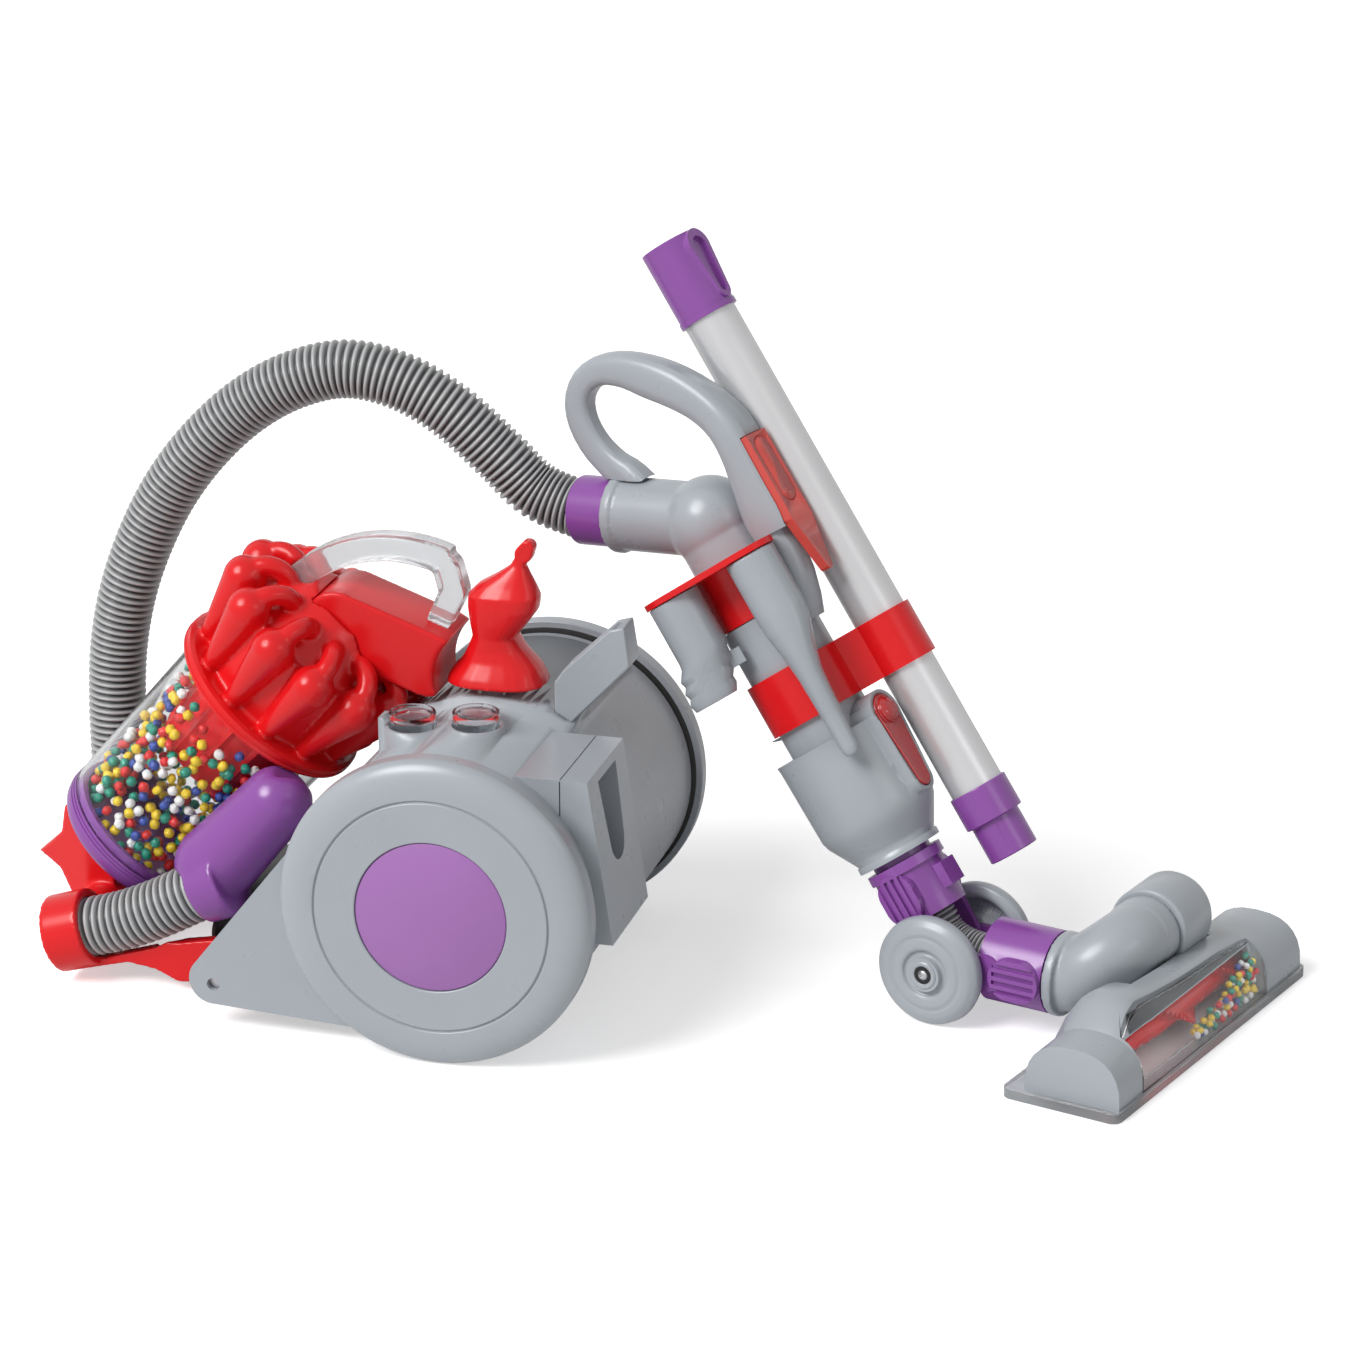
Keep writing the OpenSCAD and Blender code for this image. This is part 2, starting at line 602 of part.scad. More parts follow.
// Scoop on the near side of the bin, with the mouth that takes the inlet hose
scoop_at = [38, -46];
scoop_r = [20, 17];
scoop_low = 46;
scoop_high = 94;
inlet_mouth = inlet_route[len(inlet_route) - 1];
mouth_turn = [0, 62, 0];
collar_turn = [0, 72.6, 0];
module inlet_elbow() color(purple) difference() {
  union() {
    bin_frame() translate([scoop_at.x, scoop_at.y, 0]) {
      translate([0, 0, scoop_low]) cylinder(r1 = scoop_r[0], r2 = scoop_r[1], h = scoop_high - scoop_low);
      translate([0, 0, scoop_low]) sphere(scoop_r[0] + 0.05);
      translate([0, 0, scoop_high]) sphere(scoop_r[1] + 0.05);
    }
    placed() translate(inlet_mouth) rotate(mouth_turn) translate([0, 0, -9])
      cylinder(r1 = hose_r + 2.2, r2 = hose_r + 4.6, h = 18);
  }
  placed() translate(inlet_mouth) rotate(mouth_turn) translate([0, 0, -40])
    cylinder(r = hose_r + seat_fit, h = 44);
  bin_frame() translate([0, 0, -20])
    cylinder(r1 = bin_r + seat_fit, r2 = bin_r + bin_flare + 1, h = bin_h + 20);
  bin_frame() translate([0, 0, bin_h - 1]) cylinder(r = flange_r + 10, h = 60);
  placed() translate([0, 0, axle_z]) bar_y(wheel_r + 1, -drum_half - 10, drum_half);
  under_deck();
}

// Red base under the bin: a cross tube with a collar for each hose, a pointed lip, and an arm each
// side that runs under the hose to the roller's pin
collar_r = 19;
cross_at = [-197, 25];
cross_r = 12;
far_collar = [-223, 69];
far_collar_z = [28, 60];
arm_y = [49, 57];
lip_side = [[-238, 43], [-230, 50], [-222, 58], [-219, 73], [-195, 60], [-190, 30], [-206, 18], [-216, 26],
  [-224, 38]];
lip_plan = [[-240, -3], [-206, -22], [-185, -22], [-185, 22], [-206, 22], [-240, 3]];
arm_line = [[-200, 4.5], [-190, 7], [-182, 9], [-172, 11.5], [-158, 9.5], [-146, 4], [-141, 4.5], [-130, 12]];
arm_top = [[-130, 27.5], [-146, 24.5], [-152, 24], [-160, 20], [-176, 15.2], [-184, 12.6], [-190, 10.8], [-198, 9]];
module base_arm(y0, y1) {
  span_y(y0, y1) polygon(concat(
    [for (q = arm_line) q + [front_shift, 0]], [[-nose_reach, roller_r - 6.4], [-nose_reach, roller_r + 6.4]],
    [for (q = arm_top) q + [front_shift, 0]]));
  translate([-nose_reach, 0, roller_r]) bar_y(6.5, y0, y1);
}
module front_lip() intersection() {
  span_y(-30, 30) polygon(lip_side);
  linear_extrude(100) polygon(lip_plan);
}
module front_base() color(red) difference() {
  placed() union() {
    translate([front_shift, 0, 0]) {
      translate([cross_at.x, 0, cross_at.y]) bar_y(cross_r, -52, far_collar.y);
      translate([far_collar.x, far_collar.y, far_collar_z[0]]) {
        cylinder(r = collar_r, h = far_collar_z[1] - far_collar_z[0]);
        translate([0, 0, -12]) cylinder(r1 = collar_r - 10, r2 = collar_r - 0.3, h = 12.1);
      }
      span_link(far_collar.y - 13, far_collar.y + 9, cross_at, cross_r - 0.5,
        [far_collar.x, far_collar_z[0] + 14], 11);
      span_link(arm_y[0], arm_y[1], cross_at, cross_r - 1, [-176, 11.6], 2.4);
      front_lip();
    }
    translate(inlet_route[0]) rotate(collar_turn) translate([0, 0, -4]) cylinder(r = collar_r, h = 20);
    base_arm(-arm_y[1], -arm_y[0]);
    base_arm(arm_y[0], arm_y[1]);
  }
  placed() translate(inlet_route[0]) rotate(collar_turn) translate([0, 0, -0.5])
    cylinder(r = hose_r + seat_fit, h = 40);
  placed() translate([far_collar.x + front_shift, far_collar.y, 43.5]) cylinder(r = hose_r + seat_fit, h = 40);
  placed() translate([-nose_reach, 0, roller_r]) bar_y(roller_pin_r + seat_fit, -drum_half, drum_half);
  bin_frame() translate([0, 0, -5 - seat_fit]) cylinder(r = bin_r + 30, h = 100);
}

// Ribbed hoses and the cuff on the handle's end
hose_side = [0, 1, 0];
module main_hose() color(grey) placed()
  ribbed_hose(hose_route, hose_ribs, hose_r, hose_groove, hose_r - hose_groove - hose_wall, hose_side);
module inlet_hose() color(grey) placed()
  ribbed_hose(inlet_route, inlet_ribs, hose_r, hose_groove, hose_r - hose_groove - hose_wall, hose_side);
module hose_cuff() color(purple) pipe_frame() difference() {
  union() {
    translate([0, 0, pipe_len + free_fit]) cylinder(r = cuff_r, h = cuff_len);
    translate([0, 0, pipe_len - 12]) cylinder(r = cuff_r - 1.4, h = 14);
  }
  translate([0, 0, pipe_len - 20]) cylinder(r = hose_r + seat_fit, h = 60);
  translate([0, 0, pipe_len + cuff_len - 12])
    cylinder(r1 = hose_r + seat_fit, r2 = hose_r + 1.9, h = 12 + 2 * free_fit);
}

// Large wheels: a rounded rim, a dished face with a fine groove and a coloured disc
wheel_groove_r = wheel_r - 19;
module wheel_profile2d() difference() {
  union() {
    square([wheel_r - 15, wheel_w]);
    square([wheel_r, wheel_w - 8]);
    translate([wheel_r - 15, wheel_w - 8]) intersection() {
      scale([15 / 8, 1]) circle(8);
      square(20);
    }
  }
  square([axle_r + run_fit, 2 * wheel_w]);
  translate([0, wheel_w - 3]) square([wheel_cap_r + seat_fit, 4]);
  translate([wheel_groove_r, wheel_w - 1]) square([1, 2]);
  translate([22, -1]) square([wheel_r - 30, wheel_w - 7]);
}
module large_wheel(side) axle_frame() translate([0, side * wheel_face, 0]) rotate([side * 90, 0, 0])
  rotate_extrude() mirror([0, 1]) translate([0, -wheel_w]) wheel_profile2d();
module large_cap(side) axle_frame() translate([0, side * (wheel_face - 3), 0]) rotate([-side * 90, 0, 0])
  rotate_extrude() polygon([[0, 0], [wheel_cap_r, 0], [wheel_cap_r, 2], [wheel_cap_r - 1, 2.6], [0, 3.2]]);
module near_wheel() color(grey) large_wheel(-1);
module far_wheel() color(grey) large_wheel(1);
module near_wheel_cap() color(lilac) large_cap(-1);
module far_wheel_cap() color(lilac) large_cap(1);
axle_end = wheel_face - 3.5;
module wheel_axle() color(steel) axle_frame() bar_y(axle_r, -axle_end, axle_end);

roller_line = [[roller_pin_r + run_fit, -roller_w / 2], [roller_r - 3, -roller_w / 2], [roller_r, -roller_w / 2 + 3],
  [roller_r, roller_w / 2 - 3], [roller_r - 3, roller_w / 2], [roller_pin_r + run_fit, roller_w / 2]];
module front_roller() color(black) placed() translate([-nose_reach, 0, roller_r]) rotate([90, 0, 0])
  rotate_extrude() polygon(roller_line);
module roller_pin() color(steel) placed() translate([-nose_reach, 0, roller_r])
  bar_y(roller_pin_r, -inner_half - 0.8, inner_half + 0.8);

// See-through press buttons
module press_button(i) placed() translate([button_x[i], button_y, boss_top[i] - 8]) difference() {
  cylinder(r = button_r, h = 15);
  translate([0, 0, 13.6]) cylinder(r = button_r - 1.5, h = 2);
  translate([0, 0, -1]) cylinder(r = button_r - 2, h = 12);
}
module power_button() color(clear) press_button(0);
module mode_button() color(clear) press_button(1);

// Leaf-shaped lever on the spine: flared skirt, waist, bulge and a curled tip
// Each step: height, middle, half its length and half its width
lever_steps = [
  [153, 0, 24.5, 19.5], [157, 0, 23, 18], [161, 0.5, 20.5, 16], [165, 0.5, 17, 14], [170, -0.5, 13.5, 12.5],
  [176, -1, 10.5, 12], [183, 1, 14, 12.5], [190, 3, 17, 12.5], [196, 3.5, 17.3, 12], [201, 5, 14, 9],
  [206, 8, 8.5, 6.5], [211, 10.5, 3.8, 4], [215, 12.2, 3.2, 3.4]];
module release_lever() color(red) placed() translate([0, 0, lever_lift]) {
  difference() {
    union() {
      loft([for (q = lever_steps) [for (c = oval_pts(q[2], q[3], 24, 0.75)) [q[1] + c[0], c[1], q[0]]]]);
      span_link(-3.5, 3.5, [13.5, 217], 4.3, [15.5, 220.5], 3.4);
    }
    translate([-9, -lever_ear_y - 2.6, 140]) cube([18, 2 * lever_ear_y + 5.2, 25]);
  }
  span_link(-lever_ear_y + 2.6, lever_ear_y - 2.6, [0, 157], 4.2, [0, 168], 5);
  translate([0, 0, 157]) bar_y(lever_pin_r, -lever_ear_y - 2, lever_ear_y + 2);
}

// Handle: the pipe, ball and tube in one moulding
module handle_elbow() color(grey) difference() {
  union() {
    wand_frame() translate([0, 0, 120]) cylinder(r = sleeve_r - sleeve_wall - seat_fit, h = ball_a - 120);
    wand_frame() translate([0, 0, ball_a]) sphere(ball_r);
    pipe_frame() cylinder(r = pipe_r, h = pipe_len);
    pipe_frame() translate([0, 0, pipe_len - 5]) cylinder(r = pipe_r + 1.4, h = 5);
  }
  pipe_frame() translate([0, 0, pipe_len - 14]) cylinder(r = cuff_r - 1.4 + run_fit, h = 30);
  pipe_frame() translate([0, 0, -2]) cylinder(r = pipe_r - 4.5, h = 80);
  wand_frame() translate([0, 0, 110]) cylinder(r = sleeve_r - sleeve_wall - 3.5, h = ball_a - 110 + 4);
}

// Grip: a loop from the pipe up over the hand and down the front, split into two shells
// Each step: (p, a) on the loop's middle line, half its depth and half its thickness
grip_steps = [
  [-27, 268, 9.5, 7.5], [-29.5, 276, 9, 7], [-33.5, 285, 7.4, 6.5], [-37, 297, 7.2, 6], [-36.8, 309.5, 7, 6],
  [-32, 320, 6.8, 6.2], [-22.5, 326, 6.8, 6.6], [-11, 326, 7.4, 7], [0.5, 320, 8.6, 7.6], [11, 310.5, 10, 8.4],
  [21.5, 299.5, 10, 9.2], [31, 286, 9.2, 10], [36.5, 272, 9.2, 11], [36.5, 257, 9.5, 11], [34.6, 240, 11.6, 11],
  [33, 226, 13.4, 11], [32.5, 216.5, 13, 10.5]];
grip_path = [for (q = grip_steps) [q[0], 0, up(q[1])]];
grip_size = [for (q = grip_steps) [q[2], q[3]]];
grip_rings = 40;
function half_oval(a, b, far) =
  [for (k = [0 : 9]) let (t = (far ? 0 : 180) + 20 * k)
    [a * sgn_pow(cos(t), 0.6), b * sgn_pow(sin(t), 0.6)]];
module grip_half(far) difference() {
  wand_frame() loft([for (i = [0 : grip_rings])
    let (s = (len(grip_path) - 1) * i / grip_rings, size = along(grip_size, s))
    ring(grip_path, s, half_oval(size[0], size[1], far), [0, 1, 0])]);
  wand_frame() translate([0, 0, ball_a]) sphere(ball_r + seat_fit);
  wand_frame() translate([0, 0, 100]) cylinder(r = tube_out, h = ball_a - 100);
  pipe_frame() cylinder(r = pipe_r + 1.4 + seat_fit, h = pipe_len + cuff_len + 5);
  wand_frame() trigger_block(free_fit, trigger_travel + 1);
}
module grip_near() color(grey) grip_half(false);
module grip_far() color(grey) grip_half(true);

// Trigger: a shield-shaped plate that presses into the grip's front
trigger_p = 47.5;
trigger_half = 8.5;
trigger_low = up(191);
trigger_high = up(262);
module trigger_block(grow, deep) translate([trigger_p - 5 - deep, 0, 0]) rotate([0, 90, 0]) rotate(180) union() {
  thick = 5 + deep + (deep > 0 ? 20 : 0);
  waist = trigger_high - 44;
  linear_extrude(thick) link2d([trigger_low, 0], 2.5 + grow, [waist, 0], trigger_half + grow);
  translate([waist, -trigger_half - grow, 0])
    cube([trigger_high - waist + grow, 2 * trigger_half + 2 * grow, thick]);
}
module trigger() color(red) wand_frame() {
  difference() {
    trigger_block(0, 0);
    translate([trigger_p - 0.8, 0, 0]) rotate([0, 90, 0]) rotate([0, 0, 180]) linear_extrude(2) difference() {
      link2d([trigger_low + 40, 0], 6, [trigger_high - 8, 0], 6);
      link2d([trigger_low + 40, 0], 5.2, [trigger_high - 8, 0], 5.2);
    }
  }
}

// Wand sleeve, its rear fin, and the bell with the release button
sleeve_top = clip_a - 27 - free_fit;
fin_line = [[-sleeve_r + 1, 128], [-30, 130], [-41, 148], [-38, 153], [-sleeve_r + 1, 158]];
module wand_sleeve() color(grey) wand_frame() difference() {
  union() {
    translate([0, 0, 74]) cylinder(r = sleeve_r, h = sleeve_top - 74);
    span_y(-4, 4) polygon([for (q = fin_line) [q.x, up(q.y)]]);
  }
  translate([0, 0, 70]) cylinder(r = sleeve_r - sleeve_wall, h = ball_a);
  tube_clip_room();
}
module tube_clip_room() translate([0, 0, clip_band[0] - free_fit]) difference() {
  cylinder(r = sleeve_r + 30, h = clip_band[1] - clip_band[0] + 2 * free_fit);
  translate([0, 0, -1]) cylinder(r = sleeve_r + 0.01, h = 60);
}
button_face = bell_r + 4;
module bell_collar() color(grey) wand_frame() difference() {
  union() {
    rotate_extrude() polygon([[0, bell_low], [21.5, bell_low], [21.5, bell_low + 3], [20.6, bell_low + 3.6],
      [bell_r - 1.2, 72], [bell_r, 76], [bell_r + 0.8, bell_top - 3], [bell_r + 1.2, bell_top], [0, bell_top]]);
    translate([18, 0, 0]) rotate([0, 90, 0]) linear_extrude(button_face - 18) link2d([-117, 0], 11, [-82, 0], 7.5);
  }
  translate([0, 0, 73.8]) cylinder(r = sleeve_r + seat_fit, h = 80);
  translate([0, 0, bell_low - 1]) cylinder(r = 15 + seat_fit, h = 40);
  translate([button_face - 5, 0, 0]) rotate([0, 90, 0]) linear_extrude(20)
    link2d([-117, 0], 8.6 + free_fit, [-82, 0], 5 + free_fit);
}
module release_button() color(red) wand_frame() translate([button_face - 2.4, 0, 0]) rotate([0, 90, 0]) {
  linear_extrude(3) link2d([-117, 0], 8.6, [-82, 0], 5);
  translate([0, 0, 2.9]) linear_extrude(1.8) translate([-117, 0]) circle(6.6);
}

// Clip plate for the two small tools, with a collar round the tube and a spigot for each tool
spigot_r = 9.8;
spigot_len = 20;
clip_wall = 2.6;
tube_out = sleeve_r - sleeve_wall;
module tool_clip() color(red) wand_frame() difference() {
  union() {
    translate([0, 0, clip_a]) linear_extrude(clip_t) {
      link2d([0, 0], tube_out + clip_wall, crevice_place, 13.4);
      link2d([0, 0], tube_out + clip_wall, short_place, 14);
      link2d(crevice_place, 13.4, short_place, 14);
    }
    translate([0, 0, clip_a - 27]) cylinder(r = tube_out + clip_wall, h = 27.5);
    for (q = [crevice_place, short_place]) translate([q.x, q.y, clip_a - spigot_len])
      cylinder(r = spigot_r, h = spigot_len + 0.5);
  }
  translate([0, 0, clip_a - 40]) cylinder(r = tube_out + 0.02, h = 60);
  translate([14, -60, clip_a - 40]) cube([60, 100, 39.9 - spigot_len - 2]);
  grip_room();
}
module grip_room() translate([14, -12, clip_a - 50]) cube([60, 24, 80]);

// Narrow tool and brush tool, each with a socket for its spigot
// Each step: height below the clip, shift and half its two widths
crevice_steps = [[-0.4, 0, 12.6, 12.6], [-31, 0, 12.6, 12.6], [-39, -0.5, 11.6, 12], [-51, -1.6, 8.6, 11],
  [-63, -2.6, 6.4, 9.6], [-85, -3.2, 5.2, 6.2], [-103, -3.6, 4.4, 4.6], [-106, -3.6, 3.4, 3.6]];
view_turn = -34.2;
module tool_body(steps) loft([for (i = [len(steps) - 1 : -1 : 0]) let (q = steps[i])
  [for (c = oval_pts(q[2], q[3], 24, 0.9)) [q[1] + c[0], c[1], clip_a + q[0]]]]);
module tool_frame(place) wand_frame() translate([place.x, place.y, 0]) rotate(-view_turn) children();
module tool_socket() translate([0, 0, clip_a - spigot_len - 2]) cylinder(r = spigot_r + run_fit, h = spigot_len + 5);
module crevice_tool() color(grey) tool_frame(crevice_place) difference() {
  tool_body(crevice_steps);
  tool_socket();
}
// Pleated skirt of the brush tool
short_steps = [[-0.4, 0, 13, 13], [-29, 0, 13, 13], [-32, -1, 12.4, 12.4], [-37, -2.8, 13.9, 12],
  [-40, -3.6, 12.2, 10.6],
  [-43, -4.4, 13.3, 10.6], [-46, -4.9, 11.7, 9.4], [-49, -5.6, 12.6, 9.4], [-53, -6, 11, 8]];
module short_tool() color(grey) tool_frame(short_place) difference() {
  union() {
    tool_body(short_steps);
    translate([2, -2, clip_a - 43]) cube([14, 4, 8]);
  }
  tool_socket();
  translate([-4, 0, clip_a - 58]) cylinder(r1 = 5, r2 = 6, h = 26);
}

// Band that holds the silver tube beside the wand
clip_band = [up(131), up(158)];
module tube_clip() color(red) wand_frame() translate([0, 0, clip_band[0]]) difference() {
  band = clip_band[1] - clip_band[0];
  union() {
    cylinder(r = sleeve_r + clip_wall, h = band);
    translate(tube_place) cylinder(r = tube_r + 2.2, h = band);
    rotate(atan2(tube_place.y, tube_place.x)) translate([0, -10, 0]) cube([norm(tube_place), 20, band]);
  }
  translate([0, 0, -1]) cylinder(r = sleeve_r + seat_fit / 3, h = band + 2);
  translate([tube_place.x, tube_place.y, -1]) cylinder(r = tube_r + run_fit, h = band + 2);
}

// Silver tube with a socket sleeve at its top and a stepped spigot sleeve at its foot
spigot_foot_r = tube_r - 1;
socket_depth = 22;
tube_high = tube_foot + tube_len;
module extension_tube() color(silver) tube_frame() translate([0, 0, tube_foot + 22]) difference() {
  cylinder(r = tube_r, h = tube_len - 22 - socket_depth);
  translate([0, 0, -1]) cylinder(r = tube_r - tube_wall, h = tube_len);
}
module tube_top_sleeve() color(purple) tube_frame() difference() {
  union() {
    translate([0, 0, tube_high - 40]) cylinder(r = tube_r + 1.1, h = 40);
    translate([0, 0, tube_high - 40]) cylinder(r = tube_r + 1.6, h = 3);
    translate([tube_r - 4, 0, 0]) rotate([0, 90, 0]) linear_extrude(6.4)
      link2d([8 - tube_high, 0], 8, [32 - tube_high, 0], 4.5);
  }
  translate([0, 0, tube_high - 41]) cylinder(r = tube_r + seat_fit / 2, h = 41 - socket_depth);
  translate([0, 0, tube_high - socket_depth - 1]) cylinder(r = spigot_foot_r + 0.12, h = socket_depth + 8);
  translate([tube_r + 0.4, 0, 0]) rotate([0, 90, 0]) linear_extrude(6.4)
    link2d([9 - tube_high, 0], 5, [31 - tube_high, 0], 2.6);
}
module tube_bottom_sleeve() color(purple) tube_frame() difference() {
  union() {
    translate([0, 0, tube_foot]) cylinder(r = spigot_foot_r, h = 20);
    translate([0, 0, tube_foot + 19]) cylinder(r = tube_r + 1.4, h = 17);
  }
  translate([0, 0, tube_foot + 22]) cylinder(r = tube_r + seat_fit / 2, h = 30);
  translate([0, 0, tube_foot - 1]) cylinder(r = tube_r - 3, h = 40);
}

// Neck: the upper yoke on the wand and the lower yoke on the head's pipe fold about the wheel pins
yoke_arm_r = 8;
lower_arm = yoke_arm + yoke_arm_t + free_fit;
neck_wheel_in = lower_arm + yoke_arm_t + free_fit;
neck_wheel_w = 12;
neck_pin_end = neck_wheel_in + neck_wheel_w - 1;
sleeve_back = 22;
sleeve_front = 55;
neck_lift = 2;
bellows_r = 10.5;

// Ribbed grip panel with round corners on the side of a yoke
module vent_panel(x0, x1, half, deep) difference() {
  span_y(-deep, 0) link2d([x0, 0], half, [x1, 0], half);
  for (i = [-1.5 : 1 : 1.5]) translate([x0 - 0.8 * half, -deep - 1, i * half * 0.42 - half * 0.11])
    cube([x1 - x0 + 1.6 * half, 2.6, half * 0.22]);
}
module yoke_arm_at(s, mid, to, r) span_y(s * mid - yoke_arm_t / 2, s * mid + yoke_arm_t / 2)
  link2d([0, 0], yoke_arm_r, to, r);
module upper_yoke() color(purple) wand_frame() difference() {
  union() {
    translate([0, 0, 22]) cylinder(r = 18, h = 29);
    translate([0, 0, 46]) cylinder(r = 19.5, h = 5);
    translate([0, 0, 50]) cylinder(r = 15, h = 14);
    for (s = [-1, 1]) yoke_arm_at(s, yoke_arm + yoke_arm_t / 2, [0, 32], 9);
    for (s = [0, 180]) rotate(s) translate([0, -yoke_arm - 1.5, 36]) rotate([0, 90, 0]) vent_panel(-2, 4, 10, 4.5);
    translate([12, -6, 30]) cube([10, 12, 12]);
  }
  translate([0, 0, 10]) cylinder(r = bellows_r + 0.8, h = 60);
  bar_y(neck_pin_r + run_fit, -40, 40);
}
module lower_yoke() color(purple) neck_frame() difference() {
  union() {
    translate([sleeve_back, 0, neck_lift]) rotate([0, 90, 0]) cylinder(r = neck_r, h = sleeve_front - sleeve_back);
    for (s = [-1, 1]) yoke_arm_at(s, lower_arm + yoke_arm_t / 2, [sleeve_back + 4, neck_lift], 9);
    bar_y(neck_pin_r, -neck_pin_end, -yoke_arm + 0.5);
    bar_y(neck_pin_r, yoke_arm - 0.5, neck_pin_end);
    for (s = [0, 180]) translate([0, 0, neck_lift]) rotate([s, 0, 0]) translate([neck_wheel_r + 12, -neck_r + 3, 0])
      vent_panel(0, 6, 10, 6);
  }
  translate([sleeve_back - 8, 0, neck_lift]) rotate([0, 90, 0]) cylinder(r = bellows_r + 0.8, h = 24);
  translate([sleeve_back, 0, neck_lift]) rotate([0, 90, 0]) cylinder(r = 14 + wide_fit, h = 60);
  translate([-20, -yoke_arm - yoke_arm_t - free_fit / 2, -40])
    cube([sleeve_back + 20 - free_fit, 2 * yoke_arm + 2 * yoke_arm_t + free_fit, 80]);
}
wide_fit = run_fit + 0.03;
lean_sin = sin(wand_lean);
lean_cos = cos(wand_lean);
bellows_route = [
  [-26 * lean_sin, 0, 26 * lean_cos], [-18 * lean_sin, 0, 18 * lean_cos], [-10 * lean_sin, 0, 10 * lean_cos],
  [1.5, 0, 4], [9, 0, 2.4], [17, 0, neck_lift], [25, 0, neck_lift]];
bellows_ribs = 14;
module neck_bellows() color(grey) neck_frame()
  ribbed_hose(bellows_route, bellows_ribs, bellows_r, 1.8, bellows_r - 3.2, [0, 1, 0], 12);

neck_wheel_line = [[neck_pin_r + run_fit, 0], [neck_wheel_r - 4, 0], [neck_wheel_r - 0.6, 1.6], [neck_wheel_r, 4],
  [neck_wheel_r - 0.6, 7], [neck_wheel_r - 4, 9.6], [19, 10.6], [18.2, 9.8], [17.4, 10.6], [12, 10.8], [11, 9.2],
  [9, 9.2], [8.4, neck_wheel_w], [neck_pin_r + run_fit, neck_wheel_w]];
module neck_wheel(side) neck_frame() translate([0, side * neck_wheel_in, 0]) rotate([-side * 90, 0, 0])
  rotate_extrude() difference() {
    polygon(neck_wheel_line);
    translate([12, -1]) square([9, 5]);
  }
module near_neck_wheel() color(grey) neck_wheel(-1);
module far_neck_wheel() color(grey) neck_wheel(1);

// Floor head: the bent pipe, swivel barrel, shell, window, brush and sole plate
barrel_u = -14;
barrel_v = [14, 48];
journal_r = 15;
pipe_in = 17;
elbow_start = sleeve_front + free_fit - neck_back;
elbow_from = [elbow_start + 9, -neck_side, neck_wheel_r + neck_lift];
elbow_to = [barrel_u, -neck_side, barrel_z];
elbow_tilt = atan2(elbow_to.z - elbow_from.z, elbow_to.x - elbow_from.x);
elbow_bend = neck_side - 0.5;
elbow_run = norm(elbow_to - elbow_from) - elbow_bend;
elbow_r = min(pipe_in, elbow_bend - 2);
module elbow_bent(r) translate(elbow_from) rotate([0, -elbow_tilt, 0]) {
  rotate([0, 90, 0]) cylinder(r = r - 0.1, h = elbow_run + 1);
  translate([elbow_run, elbow_bend, 0]) rotate(-90) rotate_extrude(angle = 90) translate([elbow_bend, 0]) circle(r);
}
module head_elbow() color(grey) head_frame() difference() {
  union() {
    translate([elbow_start, elbow_from.y, elbow_from.z]) rotate([0, 90, 0]) cylinder(r = neck_r + 0.4, h = 5);
    translate([elbow_start - 16, elbow_from.y, elbow_from.z]) rotate([0, 90, 0]) cylinder(r = 14, h = 18);
    translate([elbow_start + 2, elbow_from.y, elbow_from.z]) rotate([0, 90, 0])
      cylinder(r = elbow_r + 0.2, h = elbow_from.x - elbow_start - 2);
    translate(elbow_from) intersection() {
      sphere(elbow_r + 0.1);
      translate([-6, -40, -40]) cube(80);
    }
    elbow_bent(elbow_r);
    translate([barrel_u, 0, barrel_z]) bar_y(barrel_r - 2.5, 2, barrel_v[0] - free_fit);
    translate([barrel_u, 0, barrel_z]) bar_y(elbow_r - 0.1, elbow_bend - neck_side - 1, 3);
    translate([barrel_u, 0, barrel_z]) bar_y(journal_r, 3, barrel_v[1] - 8);
  }
  translate([barrel_u, 0, barrel_z]) bar_y(journal_r - 3, 2, 80);
  translate([elbow_start - 20, elbow_from.y, elbow_from.z]) rotate([0, 90, 0]) cylinder(r = 11, h = 26);
}
module head_barrel() color(grey) head_frame() difference() {
  translate([barrel_u, 0, barrel_z]) rotate([-90, 0, 0]) rotate_extrude() polygon([
    [0, barrel_v[0]], [barrel_r - 1, barrel_v[0]], [barrel_r, barrel_v[0] + 1], [barrel_r, barrel_v[1] - 6],
    [barrel_r - 2, barrel_v[1] - 2], [barrel_r - 6, barrel_v[1]], [0, barrel_v[1]]]);
  translate([barrel_u, 0, barrel_z]) bar_y(journal_r + wide_fit, 0, barrel_v[1] - 5);
}

// Head shell: sections across the head, from the near end to the far end
// Each step: place along the head and height; inside, the shell is hollow between its end caps
brush_u = 6;
brush_z = 14;
cap_in = 75;
shell_mid = 4.2;
shell_w = sole_w / 2 - 5.9;
shell_wall = 2.2;
window_v = [-74, 60];
shell_steps = [[-98, 30], [-75, 30.5], [-67, 40], [-58, 43.5], [-40, 41], [-10, 38], [30, 36], [55, 33.5], [64, 32],
  [75, 30], [98, 30]];
function d_pts(h, w) = concat(
  [for (k = [0 : 14]) let (t = 180 - 180 * k / 14)
    [shell_mid + w * sgn_pow(cos(t), 0.8), 7 + (h - 7) * sgn_pow(sin(t), 0.8)]],
  [[shell_mid + w, sole_t + 0.01], [shell_mid - w, sole_t + 0.01]]);
module shell_body() loft([for (i = [len(shell_steps) - 1 : -1 : 0]) let (q = shell_steps[i])
  [for (c = d_pts(q[1], shell_w)) [c[0], q[0], c[1]]]]);
module window_room2d() polygon([[13, 60], [15, 33], [20.6, 16], [20.6, 0], [50, 0], [50, 60]]);
hollow_line = [[-4, 0], [-4, 22], [4, 24], [9, 28], [14, 28.5], [20, 26], [24, 20], [25.6, 10], [25.6, 0]];
module shell_hollow() span_y(window_v[0] + shell_wall, window_v[1] - shell_wall) polygon(hollow_line);
